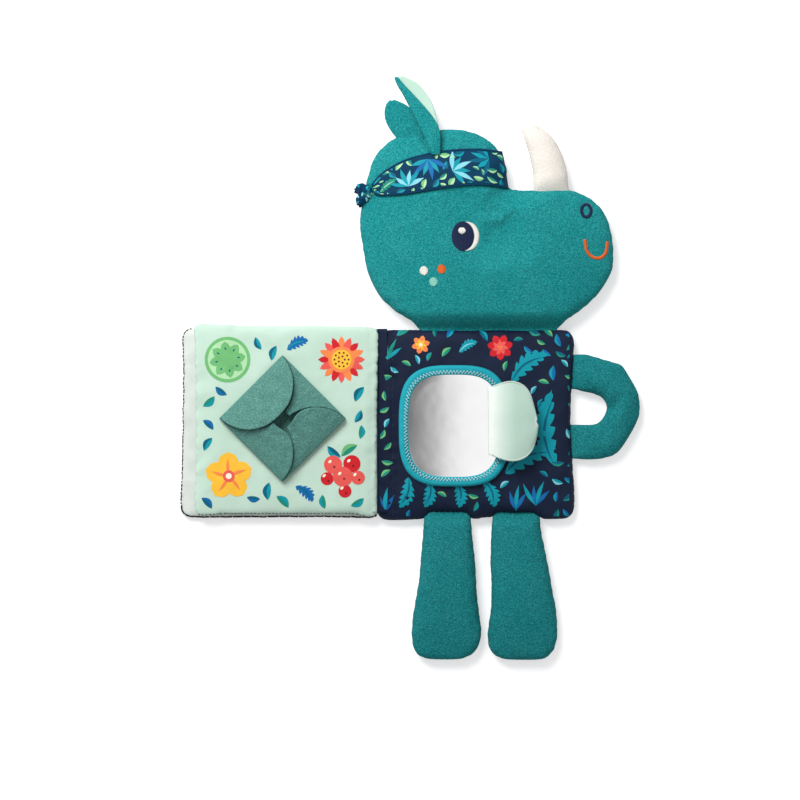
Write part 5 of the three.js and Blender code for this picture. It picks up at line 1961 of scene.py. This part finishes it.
# %% Horn
horn_low, horn_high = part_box("horn")
HORN_Z = (horn_low.z + horn_high.z) / 2 / MM
HORN_STEPS, HORN_COLUMNS, TIP_RINGS = 40, 36, 7
HORN_ROOT, HORN_THICK, HORN_FLAT, TIP_LENGTH, SEAM_DEPTH = 10, 8.4, 0.62, 0.36, 0.03
LEFT_SIDE = [(126.4, 185.5), (125.8, 193), (125.4, 204), (122.4, 217), (118.8, 229), (116.2, 238.2)]
RIGHT_SIDE = [(155.0, 185.5), (154.6, 193), (152.8, 206), (147.6, 222), (140.0, 233.2), (130.8, 239.8)]
rings = []
for i, (left, right) in enumerate(zip(spline(LEFT_SIDE, HORN_STEPS), spline(RIGHT_SIDE, HORN_STEPS))):
    half = (right - left) / 2
    full = 0.25 + 0.75 * math.sin(math.pi / 2 * min(1, i / HORN_ROOT))
    thick = min(np.linalg.norm(half) * HORN_FLAT, HORN_THICK) * full
    rings.append(((left + right) / 2, half, thick, SEAM_DEPTH))
middle, half, thick, _ = rings[-1]
ahead = TIP_LENGTH * np.array((-half[1], half[0]))
for turn in math.pi / 2 * np.arange(1, TIP_RINGS + 1) / (TIP_RINGS + 1):
    rings.append((middle + ahead * math.sin(turn), half * math.cos(turn), thick * math.cos(turn), 0))
vertices = []
for place, across, up, depth in rings:
    for angle in 2 * math.pi * np.arange(HORN_COLUMNS) / HORN_COLUMNS:
        seam = 1 - depth * math.exp(-(math.sin(angle) / 0.12) ** 2)
        vertices.append(at(*(place + across * math.cos(angle) * seam), HORN_Z + up * math.sin(angle)))
vertices.append(at(*(middle + ahead), HORN_Z))
faces = joined(len(rings), HORN_COLUMNS)
faces += fan(len(vertices) - 1, (len(rings) - 1) * HORN_COLUMNS, HORN_COLUMNS)
faces.append(tuple(reversed(range(HORN_COLUMNS))))
horn = add_mesh("stuffed_horn", vertices, [tuple(reversed(f)) for f in faces], cream_plush)
soften(horn, 3, 0)
for vertex in horn.data.vertices:
    vertex.co += vertex.normal * 0.5 * MM * noise.noise(vertex.co / (14 * MM))
put_on(horn, "head", "cream_plush", "horn")
print("horn is", round((horn_high.y - horn_low.y) / MM), "mm long in the frame")


# %% [markdown]
# An ear is two cloths sewn together, teal outside and mint inside, and pinched at its root. The near ear is
# folded over along its length: its left half lies on top and shows its teal outside, and a crescent of the
# lining shows beside it. Each row below gives the fold, the free edge on top and the right edge, from the
# root to the tip.

# %% Ears
NEAR_ROWS = (
    ((44.8, 216.5), (50.2, 216.5), (50.3, 218.0)), ((40.2, 227.8), (50.6, 227.6), (50.4, 228.4)),
    ((34.6, 239.2), (49.6, 238.4), (49.5, 239.2)), ((29.4, 250.0), (44.4, 247.4), (47.0, 250.0)),
    ((24.8, 259.4), (37.0, 256.6), (44.4, 258.8)), ((20.8, 267.0), (29.4, 264.8), (40.0, 266.2)),
    ((16.8, 273.6), (21.8, 272.6), (32.4, 275.2)), ((14.2, 280.4), (15.4, 280.0), (20.2, 281.2)),
)
FAR_ROWS = (
    ((21.0, 224.0), (40.0, 230.0)), ((15.4, 231.0), (38.4, 236.4)), ((10.0, 238.0), (35.6, 242.8)),
    ((6.6, 244.6), (32.0, 249.0)), ((5.6, 250.8), (27.4, 254.6)), ((6.4, 256.2), (21.4, 258.6)),
    ((8.6, 259.8), (15.4, 260.6)), ((10.8, 261.2), (12.8, 261.3)),
)
EAR_STEPS, EAR_HALF, EAR_THICK = 30, 0.56 * MM, 1.08 * MM
FOLD_ROUND = 1.7


def folded_section(fold, free, edge, low, share):
    """A cross-section of the near ear: under layer from the right edge, round the fold, and back on top."""
    fold, free, edge = Vector(fold), Vector(free), Vector(edge)
    curl, width = 1.6 * (1 - share), (edge - fold).length
    points = [(*edge.lerp(fold, t), low + curl * (1 - t) ** 2) for t in np.linspace(0, 0.9, 7)]
    tight = min(FOLD_ROUND, width * 0.2)
    left = (fold - edge).normalized()
    for angle in np.linspace(-60, 60, 5):
        out = fold + left * tight * (math.cos(math.radians(angle)) - 1)
        points.append((*out, low + tight * (1 + math.sin(math.radians(angle)))))
    for t in np.linspace(0.12, 1, 8):
        bow = 1.3 * math.sin(math.pi * t) * min(1, width / 12)
        points.append((*fold.lerp(free, t), low + 2 * tight + bow - 0.5 * t))
    return spline(points, 27)


def cupped_section(left, right, low, share):
    """A cross-section of the far ear: an open, slightly arched leaf."""
    left, right = Vector(left), Vector(right)
    arch_up = 2.2 * (1 - 0.4 * share)
    return [(*left.lerp(right, t), low + arch_up * math.sin(math.pi * t)) for t in np.linspace(0, 1, 17)]


def ear(name, rows, section, root_z, tip_z):
    lines = [spline([row[k] for row in rows], EAR_STEPS) for k in range(len(rows[0]))]
    grid = []
    for i, share in enumerate(np.linspace(0, 1, EAR_STEPS)):
        low = root_z + (tip_z - root_z) * share
        grid.append([at(*p) for p in section(*(line[i] for line in lines), low, share)])
    grid = np.array(grid, float)
    for part, side, material, slot in (
        ("_outer", -1, teal_plush, "plush"), ("_lining", 1, lining_cloth, "ear_lining"),
    ):
        layer = grid + side * normals_of(grid) * EAR_HALF
        cloth = soften(slab(name + part + "_cloth", layer, EAR_THICK, material), 1, 1)
        put_on(cloth, name, slot, name + part)


near_top = top_of("near_ear_outer") / MM
far_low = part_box("far_ear_outer")[0].z / MM
ear("near_ear", NEAR_ROWS, folded_section, near_top - 4.5, near_top - 15)
ear("far_ear", FAR_ROWS, cupped_section, far_low + 0.4, far_low + 0.4)


# %% [markdown]
# ## Stitches that show
#
# Dark overlock stitches hold the cover's edge, a running stitch closes the mint page at its lower edge, and the
# navy page is stitched beside the gutter.

# %% Running stitches and overlock
GUTTER_POINTS, STITCH_EVERY, STITCH_POINTS = 370, 6, 5  # points of a line, 0.4 mm apart
GUTTER_THREAD, THREAD_TOP, THREAD_FOOT = 0.26 * MM, 0.3 * MM, -0.2 * MM
dark_thread = thread_of("dark_thread", linear(12, 14, 24), linear(34, 38, 50))
gutter_line = spline([(STITCH_LINE_X, y) for y in (-74, 0, 74)], GUTTER_POINTS)
dashes = []
for start in range(0, len(gutter_line) - STITCH_EVERY, STITCH_EVERY):
    lifts = [THREAD_TOP] * STITCH_POINTS
    lifts[0] = lifts[-1] = THREAD_FOOT
    dashes.append([page_top.lay(at(*p), lift) for p, lift in zip(gutter_line[start:], lifts)])
put_on(tube_mesh("gutter_stitches", dashes, GUTTER_THREAD, navy_thread), "page", "navy_cloth")


def along_rim(name, start, end, out):
    """The stretch of a pad's rim from one place to another, anticlockwise, moved out a little."""
    loop = rims[name]
    first, last = (int(np.linalg.norm(loop - at(*p).xy, axis=1).argmin()) for p in (start, end))
    loop = np.roll(loop, -first, axis=0)[: (last - first) % len(loop) + 1]
    line = spline([from_gutter(*point) for point in loop], len(loop) * 8)
    way = np.gradient(line, axis=0)
    return line + units(np.stack([way[:, 1], -way[:, 0]], axis=1)) * out


def rim_stitches(line, surface, height, dash, gap, draw):
    """Uneven dashes along a line. dash and gap are the shortest and the longest, in millimetres."""
    step = float(np.linalg.norm(np.diff(line, axis=0), axis=1).mean())
    runs, start = [], 0
    while start < len(line) - 4:
        count = max(4, int(draw.uniform(*dash) / step))
        aside = draw.uniform(-0.25, 0.25)
        run = [
            surface.touch(at(x + aside, y + aside, height + 0.2 * math.sin(9 * k / count)))
            for k, (x, y) in enumerate(line[start : start + count])
        ]
        if len(run) > 3:
            runs.append(run)
        start += count + int(draw.uniform(*gap) / step)
    return runs


edge_draw = random.Random(8)
for name, start, end, out, surface, lift, dash, gap, radius in (
    ("cover_side_overlock", (-150, 78), (-156, -72), 0.1, cover_top, 0.9, (1.8, 4.2), (0.3, 1.0), 0.6),
    ("cover_foot_overlock", (-158, -68), (0, -78), 0.2, cover_top, 0.7, (5, 11), (0, 0.3), 0.8),
    ("leaf_foot_stitches", (-146, -75), (-8, -76), 0.1, leaf_top, 1.0, (1.6, 2.6), (0.7, 1.3), 0.34),
):
    page = name.split("_")[0]
    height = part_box(page + "_front_panel")[0].z / MM + lift
    dashes = rim_stitches(along_rim(page, start, end, out), surface, height, dash, gap, edge_draw)
    put_on(tube_mesh(name, dashes, radius * MM, dark_thread, sides=6), page, name_slots[page])
print("stitches done")
